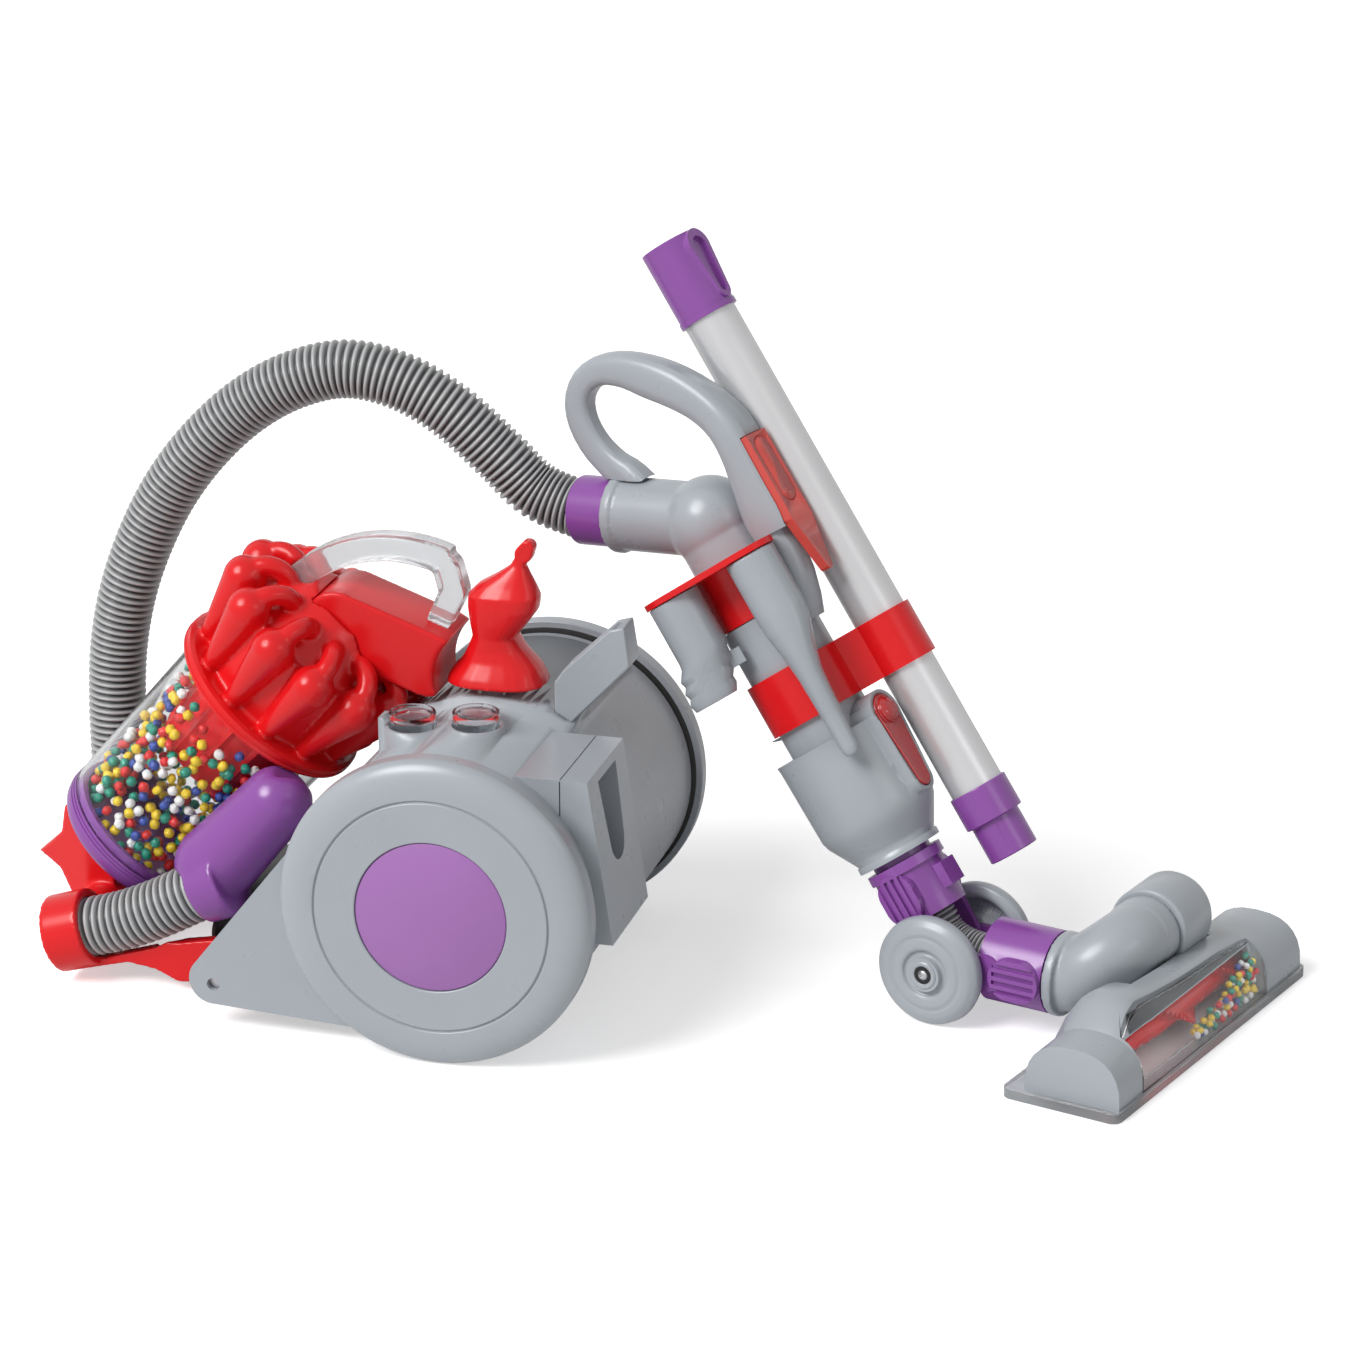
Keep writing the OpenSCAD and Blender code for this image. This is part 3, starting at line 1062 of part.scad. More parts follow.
module brush_room() {
  translate([brush_u, 0, brush_z]) bar_y(brush_r + 1.5, -cap_in, cap_in);
  translate([brush_u, 0, brush_z]) bar_y(brush_pin_r + run_fit, -cap_in - 8, cap_in + 8);
}
module head_shell() color(grey) head_frame() difference() {
  shell_body();
  shell_hollow();
  brush_room();
  span_y(window_v[0], window_v[1]) window_room2d();
  translate([barrel_u, 0, barrel_z])
    bar_y(barrel_r + seat_fit / 3, barrel_v[0] - free_fit, barrel_v[1] + seat_fit / 3);
  translate([barrel_u, 0, barrel_z]) bar_y(barrel_r - 2.5 + 2 * free_fit, -neck_side - barrel_r, barrel_v[0]);
  elbow_bent(elbow_r + 1);
  span_y(-neck_side - barrel_r, 4)
    polygon([[barrel_u + 2, 60], [-60, 60], [-60, 6], [-25, 6], [-19, 13], [barrel_u + 2, 24]]);
}
// Clear panel in the front of the shell, curved like it
window_steps = [59.8, 55, 30, -10, -40, -58, -67, -73.8];
function panel_pts(h, w, from) =
  [for (k = [0 : 9]) let (t = from * (1 - k / 9))
    [shell_mid + w * sgn_pow(cos(t), 0.8), 7 + (h - 7) * sgn_pow(sin(t), 0.8)]];
function window_section(h) =
  let (out = panel_pts(h, shell_w, 64), in = panel_pts(h - shell_wall, shell_w - shell_wall, 60))
  concat(out, [[shell_mid + shell_w, sole_t + 0.01], [shell_mid + shell_w - shell_wall, sole_t + 0.01]],
    [for (k = [9 : -1 : 0]) in[k]]);
module head_window() color(clear) head_frame() loft([for (v = window_steps)
  [for (c = window_section(lookup(v, shell_steps))) [c[0], v, c[1]]]], true);
module sole_plate() color(clear) head_frame() difference() {
  union() {
    linear_extrude(sole_t) plate2d(sole_w, sole_len, 5);
    translate([0, 0, sole_t - 0.5]) linear_extrude(1.5) difference() {
      plate2d(sole_w, sole_len, 5);
      plate2d(sole_w - 3, sole_len - 3, 3.5);
    }
  }
  translate([brush_u, 0, -1]) linear_extrude(10) plate2d(26, 2 * cap_in - 10, 4);
}
head_bead_r = 1.6;
module head_beads() for (i = [0 : 17]) color(bead_tints[i % 5]) head_frame()
  translate([21.4, -6 + (2 * head_bead_r + 0.1) * i, sole_t + head_bead_r + 0.1]) sphere(head_bead_r, $fn = 24);

// Brush: a core with pegs set along two helices
brush_pin_r = 3;
peg_r = 1.3;
pegs = 16;
module brush_roller() color(red) head_frame() translate([brush_u, 0, brush_z]) {
  bar_y(brush_core_r, -cap_in + 1.5, cap_in - 1.5);
  bar_y(brush_pin_r, -cap_in - 6, cap_in + 6);
  for (i = [0 : pegs - 1], s = [0, 180])
    translate([0, -cap_in + 8 + (2 * cap_in - 16) * i / (pegs - 1), 0]) rotate([0, s + 36 * i, 0])
      translate([0, 0, brush_core_r - 1]) cylinder(r = peg_r, h = brush_r - brush_core_r + 1, $fn = 16);
}

lower_housing();
upper_housing();
near_cheek();
far_cheek();
wheel_axle();
roller_pin();
battery_cover();
battery_cells();
drive_motor();
power_switch();
parking_dock();
latch_bracket();
carry_handle();
cyclone_head();
cyclone_duct();
dust_bin();
bin_base();
bin_shroud();
bin_beads();
inlet_elbow();
inlet_hose();
front_base();
main_hose();
hose_cuff();
near_wheel();
near_wheel_cap();
far_wheel();
far_wheel_cap();
front_roller();
power_button();
mode_button();
release_lever();
impeller();
handle_elbow();
grip_near();
grip_far();
wand_sleeve();
bell_collar();
tool_clip();
tube_clip();
upper_yoke();
trigger();
release_button();
crevice_tool();
short_tool();
extension_tube();
tube_top_sleeve();
tube_bottom_sleeve();
lower_yoke();
neck_bellows();
near_neck_wheel();
far_neck_wheel();
head_elbow();
head_shell();
head_barrel();
head_window();
sole_plate();
head_beads();
brush_roller();
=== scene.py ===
# %% [markdown]
# # A toy cylinder vacuum cleaner
# A child's vacuum cleaner is a box of mouldings: grey shells, a clear bin of beads, a red crown of
# cyclone cones, and two ribbed hoses. The lesson starts from the measured solids and gives each one
# the edges, walls and finish that it has on the toy.

import json
import math
import random

import bmesh
import bpy
from mathutils import Matrix, Vector

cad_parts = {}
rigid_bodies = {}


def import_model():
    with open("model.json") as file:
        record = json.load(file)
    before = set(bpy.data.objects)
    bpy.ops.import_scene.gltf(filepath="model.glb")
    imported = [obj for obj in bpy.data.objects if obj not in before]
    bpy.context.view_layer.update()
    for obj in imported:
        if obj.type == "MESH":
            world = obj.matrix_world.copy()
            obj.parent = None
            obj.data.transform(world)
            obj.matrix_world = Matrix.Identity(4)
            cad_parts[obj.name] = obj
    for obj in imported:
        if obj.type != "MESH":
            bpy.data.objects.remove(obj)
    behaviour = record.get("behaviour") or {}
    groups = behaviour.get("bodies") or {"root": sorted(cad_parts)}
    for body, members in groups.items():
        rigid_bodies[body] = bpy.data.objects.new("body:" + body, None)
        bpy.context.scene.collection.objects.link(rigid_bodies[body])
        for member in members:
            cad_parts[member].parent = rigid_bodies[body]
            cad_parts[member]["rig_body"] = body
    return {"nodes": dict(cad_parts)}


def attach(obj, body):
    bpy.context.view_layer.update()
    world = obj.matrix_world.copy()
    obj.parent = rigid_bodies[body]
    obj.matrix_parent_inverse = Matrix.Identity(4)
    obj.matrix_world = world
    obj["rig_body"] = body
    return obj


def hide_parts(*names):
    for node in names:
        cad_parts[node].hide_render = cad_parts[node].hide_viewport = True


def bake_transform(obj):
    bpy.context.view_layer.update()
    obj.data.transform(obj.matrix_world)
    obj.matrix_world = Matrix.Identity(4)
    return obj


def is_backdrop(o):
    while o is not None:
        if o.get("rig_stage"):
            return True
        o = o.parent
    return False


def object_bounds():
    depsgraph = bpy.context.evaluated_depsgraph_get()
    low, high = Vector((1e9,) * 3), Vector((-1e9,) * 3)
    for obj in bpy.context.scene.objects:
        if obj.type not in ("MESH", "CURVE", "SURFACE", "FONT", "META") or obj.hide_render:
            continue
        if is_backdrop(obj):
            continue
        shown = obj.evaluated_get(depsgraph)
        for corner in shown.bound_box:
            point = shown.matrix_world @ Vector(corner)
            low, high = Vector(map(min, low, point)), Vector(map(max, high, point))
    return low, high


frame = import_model()
solid_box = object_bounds()
print("measured solids:", len(frame["nodes"]))

# %% [markdown]
# The toy stands in four frames of its own: the canister, the tilted bin, the leaning wand and the
# floor head. Each is a point and three directions, so that a piece can be drawn flat and upright and
# then set down in its place. Lengths are in millimetres until they are set down.

# %% Where the pieces stand
MM = 0.001
head_turn = math.radians(-17)
wand_lean = math.radians(35.5)
UP = Vector((0, 0, 1))
U = Vector((math.cos(head_turn), math.sin(head_turn), 0))
V = Vector((-math.sin(head_turn), math.cos(head_turn), 0))
P = U * math.cos(wand_lean) + UP * math.sin(wand_lean)
A = UP * math.cos(wand_lean) - U * math.sin(wand_lean)


def place(origin, x, y, z):
    """The matrix that sets down millimetres drawn in a piece's own frame."""
    columns = Matrix((x * MM, y * MM, z * MM)).transposed()
    return Matrix.Translation(Vector(origin) * MM) @ columns.to_4x4()


CANISTER = place((-67.2, -3.2, 0), Vector((1, 0, 0)), Vector((0, 1, 0)), UP)
BIN = place((-255.2, -3.2, 54), Vector((0.743, 0, -0.669)), Vector((0, 1, 0)), Vector((0.669, 0, 0.743)))
HEAD = place((251.8, 9.8, 0), U, V, UP)
neck_point = Vector((251.8, 9.8, 27)) - U * 98 - V * 20
WAND = place(neck_point, P, V, A)
NECK = place(neck_point, U, V, UP)
print("neck joint at", [round(c, 4) for c in NECK.translation])

# %% [markdown]
# The photograph was taken from a little above and to the right of the canister, with a long lens. The
# toy stands on a pale floor under one broad soft light and a weaker one from the other side.

# %% Camera
camera = bpy.data.objects.new("camera", bpy.data.cameras.new("camera"))
bpy.context.scene.collection.objects.link(camera)
camera.data.sensor_width = 36
camera.data.lens = 36 * 4500 / 1351
look_from = Vector((0.2414, -0.9119, 0.332)).normalized()
camera.location = Vector((0.01965, -0.0032, 0.16264)) + look_from * 2.11434
camera.rotation_euler = look_from.to_track_quat("Z", "Y").to_euler()
camera.data.clip_end = 50
bpy.context.scene.camera = camera

# %% Light and floor
world = bpy.data.worlds.new("studio")
bpy.context.scene.world = world
world.use_nodes = True
sky = world.node_tree.nodes
links = world.node_tree.links
path = sky.new("ShaderNodeLightPath")
seen = sky.new("ShaderNodeMath")
seen.operation = "MAXIMUM"
links.new(path.outputs["Is Camera Ray"], seen.inputs[0])
links.new(path.outputs["Is Transmission Ray"], seen.inputs[1])
mirrored = sky.new("ShaderNodeMath")
mirrored.operation = "MAXIMUM"
links.new(seen.outputs[0], mirrored.inputs[0])
links.new(path.outputs["Is Glossy Ray"], mirrored.inputs[1])
level = sky.new("ShaderNodeMapRange")
level.inputs["To Min"].default_value = 0.28
level.inputs["To Max"].default_value = 1.0
links.new(mirrored.outputs[0], level.inputs["Value"])
sky["Background"].inputs["Color"].default_value = (1, 1, 1, 1)
links.new(level.outputs["Result"], sky["Background"].inputs["Strength"])


def lamp(name, kind, at, towards, power, size):
    """A lamp of that kind, aimed at a point, in metres."""
    light = bpy.data.lights.new(name, kind)
    light.energy = power
    if kind == "SUN":
        light.angle = size
    else:
        light.shape = "RECTANGLE"
        light.size = size
        light.size_y = size * 0.6
    lamp_object = bpy.data.objects.new(name, light)
    bpy.context.scene.collection.objects.link(lamp_object)
    lamp_object.location = at
    lamp_object.rotation_euler = (Vector(at) - Vector(towards)).to_track_quat("Z", "Y").to_euler()
    return lamp_object


lamp("main_light", "SUN", (-1.6, -2.0, 2.6), (0, 0, 0.1), 2.1, math.radians(32))
lamp("window_light", "AREA", (-1.1, -1.5, 1.5), (0, 0, 0.15), 9, 0.9)
lamp("side_light", "AREA", (1.7, -0.9, 1.1), (0.1, 0, 0.1), 2.5, 0.8)

floor_mesh = bpy.data.meshes.new("floor")
drawing = bmesh.new()
bmesh.ops.create_grid(drawing, x_segments=1, y_segments=1, size=9)
drawing.to_mesh(floor_mesh)
drawing.free()
floor = bpy.data.objects.new("floor", floor_mesh)
bpy.context.scene.collection.objects.link(floor)
floor.location.z = -0.0005
paint = bpy.data.materials.new("floor_paper")
paint.use_nodes = True
paper = paint.node_tree.nodes["Principled BSDF"]
paper.inputs["Base Color"].default_value = (0.93, 0.93, 0.93, 1)
paper.inputs["Roughness"].default_value = 0.9
paper.inputs["Specular IOR Level"].default_value = 0.1
eye = paint.node_tree.nodes.new("ShaderNodeLightPath")
glow = paint.node_tree.nodes.new("ShaderNodeMath")
glow.operation = "MULTIPLY"
glow.inputs[1].default_value = 0.5
paint.node_tree.links.new(eye.outputs["Is Camera Ray"], glow.inputs[0])
paper.inputs["Emission Color"].default_value = (1, 1, 1, 1)
paint.node_tree.links.new(glow.outputs[0], paper.inputs["Emission Strength"])
floor_mesh.materials.append(paint)
floor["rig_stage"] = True
bpy.context.scene.view_settings.view_transform = "Standard"

# %% [markdown]
# ## Finishes
# Nearly everything is injection-moulded plastic. The steel mould leaves a very fine grain, a slow
# change of gloss where the plastic cooled, and faint differences of colour, so one shared group makes
# those and each finish gives it its own colour, gloss and grain.

# %% A group for moulded surfaces
surface = bpy.data.node_groups.new("moulded_surface", "ShaderNodeTree")
for label, kind, value in (
    ("Colour", "NodeSocketColor", (0.5, 0.5, 0.5, 1)),
    ("Colour change", "NodeSocketFloat", 0.06),
    ("Gloss", "NodeSocketFloat", 0.3),
    ("Gloss change", "NodeSocketFloat", 0.1),
    ("Grain size", "NodeSocketFloat", 900.0),
):
    socket = surface.interface.new_socket(name=label, in_out="INPUT", socket_type=kind)
    socket.default_value = value
for label, kind in (("Colour", "NodeSocketColor"), ("Roughness", "NodeSocketFloat"), ("Height", "NodeSocketFloat")):
    surface.interface.new_socket(name=label, in_out="OUTPUT", socket_type=kind)


def wire(tree, start, start_socket, end, end_socket):
    """Join two sockets by name or number."""
    tree.links.new(start.outputs[start_socket], end.inputs[end_socket])


def noise(tree, coordinates, scale, detail=3.0):
    """A noise texture on the piece's own coordinates."""
    texture = tree.nodes.new("ShaderNodeTexNoise")
    texture.inputs["Scale"].default_value = scale
    texture.inputs["Detail"].default_value = detail
    tree.links.new(coordinates, texture.inputs["Vector"])
    return texture


given = surface.nodes.new("NodeGroupInput")
result = surface.nodes.new("NodeGroupOutput")
where = surface.nodes.new("ShaderNodeTexCoord").outputs["Object"]
clouds = noise(surface, where, 22.0, 4.0)
spread = surface.nodes.new("ShaderNodeMapRange")
wire(surface, clouds, "Fac", spread, "Value")
spread.inputs["From Min"].default_value = 0.3
spread.inputs["From Max"].default_value = 0.7
spread.inputs["To Min"].default_value = -0.5
spread.inputs["To Max"].default_value = 0.5
tint = surface.nodes.new("ShaderNodeMath")
tint.operation = "MULTIPLY_ADD"
wire(surface, spread, "Result", tint, 0)
wire(surface, given, "Colour change", tint, 1)
tint.inputs[2].default_value = 1.0
shade = surface.nodes.new("ShaderNodeHueSaturation")
wire(surface, given, "Colour", shade, "Color")
wire(surface, tint, 0, shade, "Value")
wire(surface, shade, "Color", result, "Colour")
patches = noise(surface, where, 60.0, 3.0)
gloss = surface.nodes.new("ShaderNodeMath")
gloss.operation = "MULTIPLY_ADD"
wire(surface, patches, "Fac", gloss, 0)
wire(surface, given, "Gloss change", gloss, 1)
wire(surface, given, "Gloss", gloss, 2)
wire(surface, gloss, 0, result, "Roughness")
grain = noise(surface, where, 900.0, 2.0)
wire(surface, given, "Grain size", grain, "Scale")
wire(surface, grain, "Fac", result, "Height")
print("sockets in the group:", len(surface.interface.items_tree))


# %% One finish from the group
def finish(slot, colour, change=0.05, gloss=0.28, gloss_change=0.1, grain=500.0, bump=0.008, by="", **constants):
    """A plastic finish: the shared group, a bump and a Principled shader; by names a painted attribute."""
    material = bpy.data.materials.new(slot + " finish")
    material["slot"] = slot
    material.use_nodes = True
    tree = material.node_tree
    shader = tree.nodes["Principled BSDF"]
    made = tree.nodes.new("ShaderNodeGroup")
    made.node_tree = surface
    made.inputs["Colour"].default_value = (*colour, 1)
    if by:
        painted = tree.nodes.new("ShaderNodeAttribute")
        painted.attribute_name = by
        wire(tree, painted, "Color", made, "Colour")
    made.inputs["Colour change"].default_value = change
    made.inputs["Gloss"].default_value = gloss
    made.inputs["Gloss change"].default_value = gloss_change
    made.inputs["Grain size"].default_value = grain
    wire(tree, made, "Colour", shader, "Base Color")
    wire(tree, made, "Roughness", shader, "Roughness")
    relief = tree.nodes.new("ShaderNodeBump")
    relief.inputs["Strength"].default_value = bump
    relief.inputs["Distance"].default_value = 0.001
    wire(tree, made, "Height", relief, "Height")
    wire(tree, relief, "Normal", shader, "Normal")
    for socket, value in constants.items():
        shader.inputs[socket.replace("_", " ")].default_value = value
    return material


grey = finish("grey_plastic", (0.365, 0.395, 0.425), gloss=0.24)
purple = finish("purple_plastic", (0.25, 0.07, 0.34), gloss=0.2)
lilac = finish("lilac_disc", (0.34, 0.145, 0.41), gloss=0.42, bump=0.05)
red = finish("red_plastic", (0.72, 0.008, 0.011), gloss=0.2, Specular_IOR_Level=0.35)
# This dark grey is painted shade for the inner wall in the floor head's window.
painted_shade_grey = finish("grey_plastic", (0.06, 0.065, 0.072), gloss=0.4)
black = finish("black_plastic", (0.006, 0.006, 0.007), gloss=0.5)
# The hose colour is read from an attribute that holds painted shade in the rib grooves.
hose_grey_groove_shade = finish("hose_grey", (0.3, 0.3, 0.31), gloss=0.26, bump=0.03, by="rib_painted_shade")
silver = finish("silver_tube", (0.6, 0.6, 0.61), gloss=0.27, grain=1500, bump=0.03, Metallic=0.4)
steel = finish("steel", (0.55, 0.55, 0.57), gloss=0.25, Metallic=1.0)
clear = finish("clear_plastic", (0.95, 0.96, 0.97), 0.01, 0.02, 0.03, bump=0.006, Transmission_Weight=1.0, IOR=1.22)
smoky = finish("clear_plastic", (0.84, 0.86, 0.88), 0.02, 0.06, 0.05, bump=0.01, Transmission_Weight=0.82, IOR=1.36)
deep_red = finish("red_clear", (0.42, 0.008, 0.01), 0.05, 0.1, 0.05, bump=0.01, Coat_Weight=0.4)
red_clear = finish("red_clear", (0.8, 0.1, 0.08), 0.02, 0.12, 0.05, bump=0.01, Transmission_Weight=0.3, IOR=1.46)
bead_paint = finish("bead_plastic", (0.8, 0.6, 0.2), gloss=0.25, by="bead_colour")
made_finishes = [m.name for m in bpy.data.materials if "slot" in m]
print("finishes:", len(made_finishes))


# %% [markdown]
# Two small helpers finish a piece. One turns a bmesh into an object that rides on its body and stands
# for a measured solid; the other takes a measured solid that already has the right shape, joins its
# triangles and rounds its edges, because no moulding leaves the tool with a knife edge.


# %% Helpers for pieces
def piece(name, drawing, body, material, stands_for=(), sharp=35):
    """Make an object from a drawing in metres and let it ride on a body."""
    mesh = bpy.data.meshes.new(name)
    drawing.to_mesh(mesh)
    drawing.free()
    mesh.shade_smooth()
    mesh.set_sharp_from_angle(angle=math.radians(sharp))
    made = bpy.data.objects.new(name, mesh)
    bpy.context.scene.collection.objects.link(made)
    mesh.materials.append(material)
    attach(made, body)
    if stands_for:
        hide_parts(*stands_for)
    return made


BODY_OF = {}
for node_name, node in frame["nodes"].items():
    BODY_OF[node_name] = node["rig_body"]


def joined(node_name):
    """A copy of a measured solid with its loose triangles joined."""
    drawing = bmesh.new()
    drawing.from_mesh(frame["nodes"][node_name].data)
    bmesh.ops.remove_doubles(drawing, verts=drawing.verts, dist=0.00001)
    return drawing


def moulded(node_name, material, edge=0.5, segments=2, angle=35):
    """A measured solid with rounded edges; edge is in millimetres."""
    drawing = joined(node_name)
    if edge:
        flat = math.radians(0.4)
        bmesh.ops.dissolve_limit(drawing, angle_limit=flat, verts=drawing.verts, edges=drawing.edges)
    made = piece(node_name + "_moulding", drawing, BODY_OF[node_name], material, [node_name])
    if edge:
        rounding = made.modifiers.new("rounded edges", "BEVEL")
        rounding.width = edge * MM
        rounding.segments = segments
        rounding.limit_method = "ANGLE"
        rounding.angle_limit = math.radians(angle)
        rounding.use_clamp_overlap = True
    return made


def melted(node_name, material, grain=1.0, rounds=6):
    """A measured solid drawn over with one skin, so that its joins run into each other."""
    made = piece(node_name + "_moulding", joined(node_name), BODY_OF[node_name], material, [node_name])
    skin = made.modifiers.new("one skin", "REMESH")
    skin.mode = "VOXEL"
    skin.voxel_size = grain * MM
    skin.use_smooth_shade = True
    ease = made.modifiers.new("eased joins", "SMOOTH")
    ease.factor = 0.5
    ease.iterations = rounds
    return made


def turned(drawing, outline, matrix, steps=72):
    """Turn an outline of (radius, height) round its axis, as on a lathe, and set it down."""
    before = len(drawing.verts)
    points = [drawing.verts.new((radius, 0, height)) for radius, height in outline]
    edges = [drawing.edges.new(pair) for pair in zip(points, points[1:])]
    full = 2 * math.pi
    bmesh.ops.spin(
        drawing, geom=points + edges, cent=(0, 0, 0), axis=(0, 0, 1), angle=full, steps=steps, use_merge=True
    )
    drawing.verts.ensure_lookup_table()
    made = drawing.verts[before:]
    bmesh.ops.remove_doubles(drawing, verts=made, dist=0.001)
    drawing.verts.ensure_lookup_table()
    made = drawing.verts[before:]
    faces = list({f for v in made for f in v.link_faces})
    bmesh.ops.recalc_face_normals(drawing, faces=faces)
    bmesh.ops.transform(drawing, verts=made, matrix=matrix)


# %% [markdown]
# ## The hoses
# The long hose is a thin plastic tube with a raised rib every few millimetres. It leaves the purple
# cuff at the handle, rises in a free arch and comes down into the red collar on the far side. The path
# is a smooth curve through a few points, and the ribs are rings of changing radius along it.


# %% Smooth paths
def smooth_path(points):
    """Close points on a Catmull-Rom curve, and its length."""
    points = [Vector(p) for p in points]
    padded = [points[0] * 2 - points[1]] + points + [points[-1] * 2 - points[-2]]
    fine = []
    for a, b, c, d in zip(padded, padded[1:], padded[2:], padded[3:]):
        for k in range(60):
            t = k / 60
            fine.append(
                (2 * b + (c - a) * t + (2 * a - 5 * b + 4 * c - d) * t**2 + (3 * b - a - 3 * c + d) * t**3) / 2
            )
    fine.append(points[-1])
    return fine, sum((b - a).length for a, b in zip(fine, fine[1:]))


def along(fine, distance):
    """The point and direction at a distance along a fine path."""
    for before, after in zip(fine, fine[1:]):
        length = (after - before).length
        if distance <= length:
            return before + (after - before) * (distance / max(length, 1e-9)), (after - before).normalized()
        distance -= length
    return fine[-1].copy(), (fine[-1] - fine[-2]).normalized()


def swept(drawing, stations, sides):
    """Extrude a ring through (point, direction, radius) stations."""
    point, direction, radius = stations[0]
    turn = direction.to_track_quat("Z", "Y")
    ring = bmesh.ops.create_circle(drawing, segments=sides, radius=radius)["verts"]
    bmesh.ops.transform(drawing, verts=ring, matrix=Matrix.Translation(point) @ turn.to_matrix().to_4x4())
    edges = list({e for v in ring for e in v.link_edges})
    for (p0, d0, r0), (p1, d1, r1) in zip(stations, stations[1:]):
        made = bmesh.ops.extrude_edge_only(drawing, edges=edges)["geom"]
        ring = [g for g in made if isinstance(g, bmesh.types.BMVert)]
        edges = [g for g in made if isinstance(g, bmesh.types.BMEdge)]
        edges = [e for e in edges if e.verts[0] in ring and e.verts[1] in ring]
        turn = d0.rotation_difference(d1).to_matrix().to_4x4()
        move = Matrix.Translation(p1) @ turn @ Matrix.Scale(r1 / r0, 4) @ Matrix.Translation(-p0)
        bmesh.ops.transform(drawing, verts=ring, matrix=move)


# Rib tops keep the hose's own grey; groove bottoms are painted near black as painted shade.
RIB_TOP = (0.46, 0.465, 0.47)
RIB_GROOVE_SHADE = (0.045, 0.047, 0.05)


def ribbed_tube(name, points, matrix, radius, groove, ribs, sides, body, node_name):
    """A ribbed hose through points in a frame, drawn in millimetres."""
    fine, total = smooth_path(points)
    pitch = total / ribs
    low, part = -groove * 0.92, -groove * 0.25
    shape = ((0.0, -groove), (0.14, low), (0.3, part), (0.42, 0.0), (0.6, 0.0), (0.74, part), (0.9, low))
    stations = []
    for rib in range(ribs):
        for share, dip in shape:
            where, heading = along(fine, (rib + share) * pitch)
            stations.append((where, heading, radius + dip))
    stations.append((fine[-1], (fine[-1] - fine[-2]).normalized(), radius - groove))
    drawing = bmesh.new()
    shade = drawing.verts.layers.float_color.new("rib_painted_shade")
    swept(drawing, stations, sides)
    drawing.verts.ensure_lookup_table()
    # Each ring is painted between the two colours by its depth in the groove: painted shade.
    for number, vert in enumerate(drawing.verts):
        depth = (radius - stations[number // sides][2]) / groove
        vert[shade] = [c + (d - c) * depth for c, d in zip(RIB_TOP, RIB_GROOVE_SHADE)] + [1.0]
    bmesh.ops.recalc_face_normals(drawing, faces=drawing.faces)
    bmesh.ops.transform(drawing, verts=drawing.verts, matrix=matrix)
    made = piece(name, drawing, body, hose_grey_groove_shade, [node_name], sharp=60)
    print(name, "is", round(total), "mm long with", ribs, "ribs")
    return made, [matrix @ p for p in fine], total * MM


# %% The long hose
cuff_axis = Vector((-0.9527, 0.2913, -0.0872))
ball = Vector((20.62 + 67.2, 59.56 + 3.2, 219.95))
hose_points = [ball + cuff_axis * (52 + d) for d in (-10, 6, 22)]
hose_points += [(-6, 86, 221), (-25, 84, 239), (-47, 81, 259), (-72, 79, 273), (-99, 77, 278)]
hose_points += [(-126, 75, 271), (-151, 74, 256), (-173, 72, 235), (-191, 71, 211), (-205, 70, 184)]
hose_points += [(-215, 69, 156), (-221, 69, 127), (-223, 69, 98), (-223, 69, 70), (-223, 69, 44)]
HOSE_R, HOSE_GROOVE, HOSE_SIDES = 14.5, 2.0, 32
long_hose, hose_line, hose_length = ribbed_tube(
    "long_hose", hose_points, CANISTER, HOSE_R, HOSE_GROOVE, 128, HOSE_SIDES, "canister", "main_hose"
)

# %% The short inlet hose
inlet_points = [(-206, -52, 22), (-190, -52, 27), (-174, -52, 32)]
inlet_points += [(-157, -52, 39.5), (-142, -52, 47.5), (-127, -52, 55.5)]
ribbed_tube("short_hose", inlet_points, CANISTER, HOSE_R, HOSE_GROOVE, 21, HOSE_SIDES, "canister", "inlet_hose")

# %% The neck bellows
lean_out = Vector((-math.sin(wand_lean), 0, math.cos(wand_lean)))
bellows_points = [lean_out * 26, lean_out * 18, lean_out * 10]
bellows_points += [(1.5, 0, 4), (9, 0, 2.4), (17, 0, 2), (25, 0, 2)]
bellows, _, _ = ribbed_tube(
    "bellows", bellows_points, NECK, 10.5, 1.5, 20, 28, "wand", "neck_bellows"
)
world_place = bellows.matrix_world.copy()
bellows.parent = None
bellows.matrix_world = world_place
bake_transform(bellows)

# %% [markdown]
# ## The bin
# The bin is a clear cup on a purple foot. Inside it hangs a red cone with flat panels, and beads the
# size of a pea fly about it. Clear walls show both faces, so the cup keeps its measured thickness. The
# foot is turned from one outline, with the two fine grooves that run round it.

# %% Foot and inner cone
drawing = bmesh.new()
foot = [(0, -5), (36, -5), (39.5, -3), (41.2, -0.6), (42.2, 3), (42.2, 4.2), (41.7, 4.4), (41.7, 4.9), (42.2, 5.1)]
foot += [(42.2, 6), (41.7, 6.2), (41.7, 6.7), (42.2, 6.9), (42.2, 7.9)]
foot += [(39.8, 8), (39.8, 12), (37, 12), (37, 0), (0, 0)]
turned(drawing, foot, BIN, 96)
bin_foot = piece("bin_foot", drawing, "canister", purple, ["bin_base"])

drawing = bmesh.new()
bmesh.ops.create_cone(drawing, cap_ends=True, segments=12, radius1=29, radius2=32.6, depth=54)
sides = [f for f in drawing.faces if abs(f.normal.z) < 0.5]
bmesh.ops.inset_individual(drawing, faces=sides, thickness=2.6, depth=-0.9, use_even_offset=True)
bmesh.ops.transform(drawing, verts=drawing.verts, matrix=BIN @ Matrix.Translation((0, 0, 62 + 27)))
inner_cone = piece("inner_cone", drawing, "canister", red, ["bin_shroud"], sharp=15)
print("inner cone faces:", len(inner_cone.data.polygons))

drawing = bmesh.new()
lip = [(49, 106.8), (50.9, 107), (51.2, 108.2), (50.5, 108.8), (50.5, 109.4), (51.2, 110), (50.9, 112), (49, 113)]
turned(drawing, lip, BIN, 96)
flange_lip = piece("flange_lip", drawing, "canister", red)

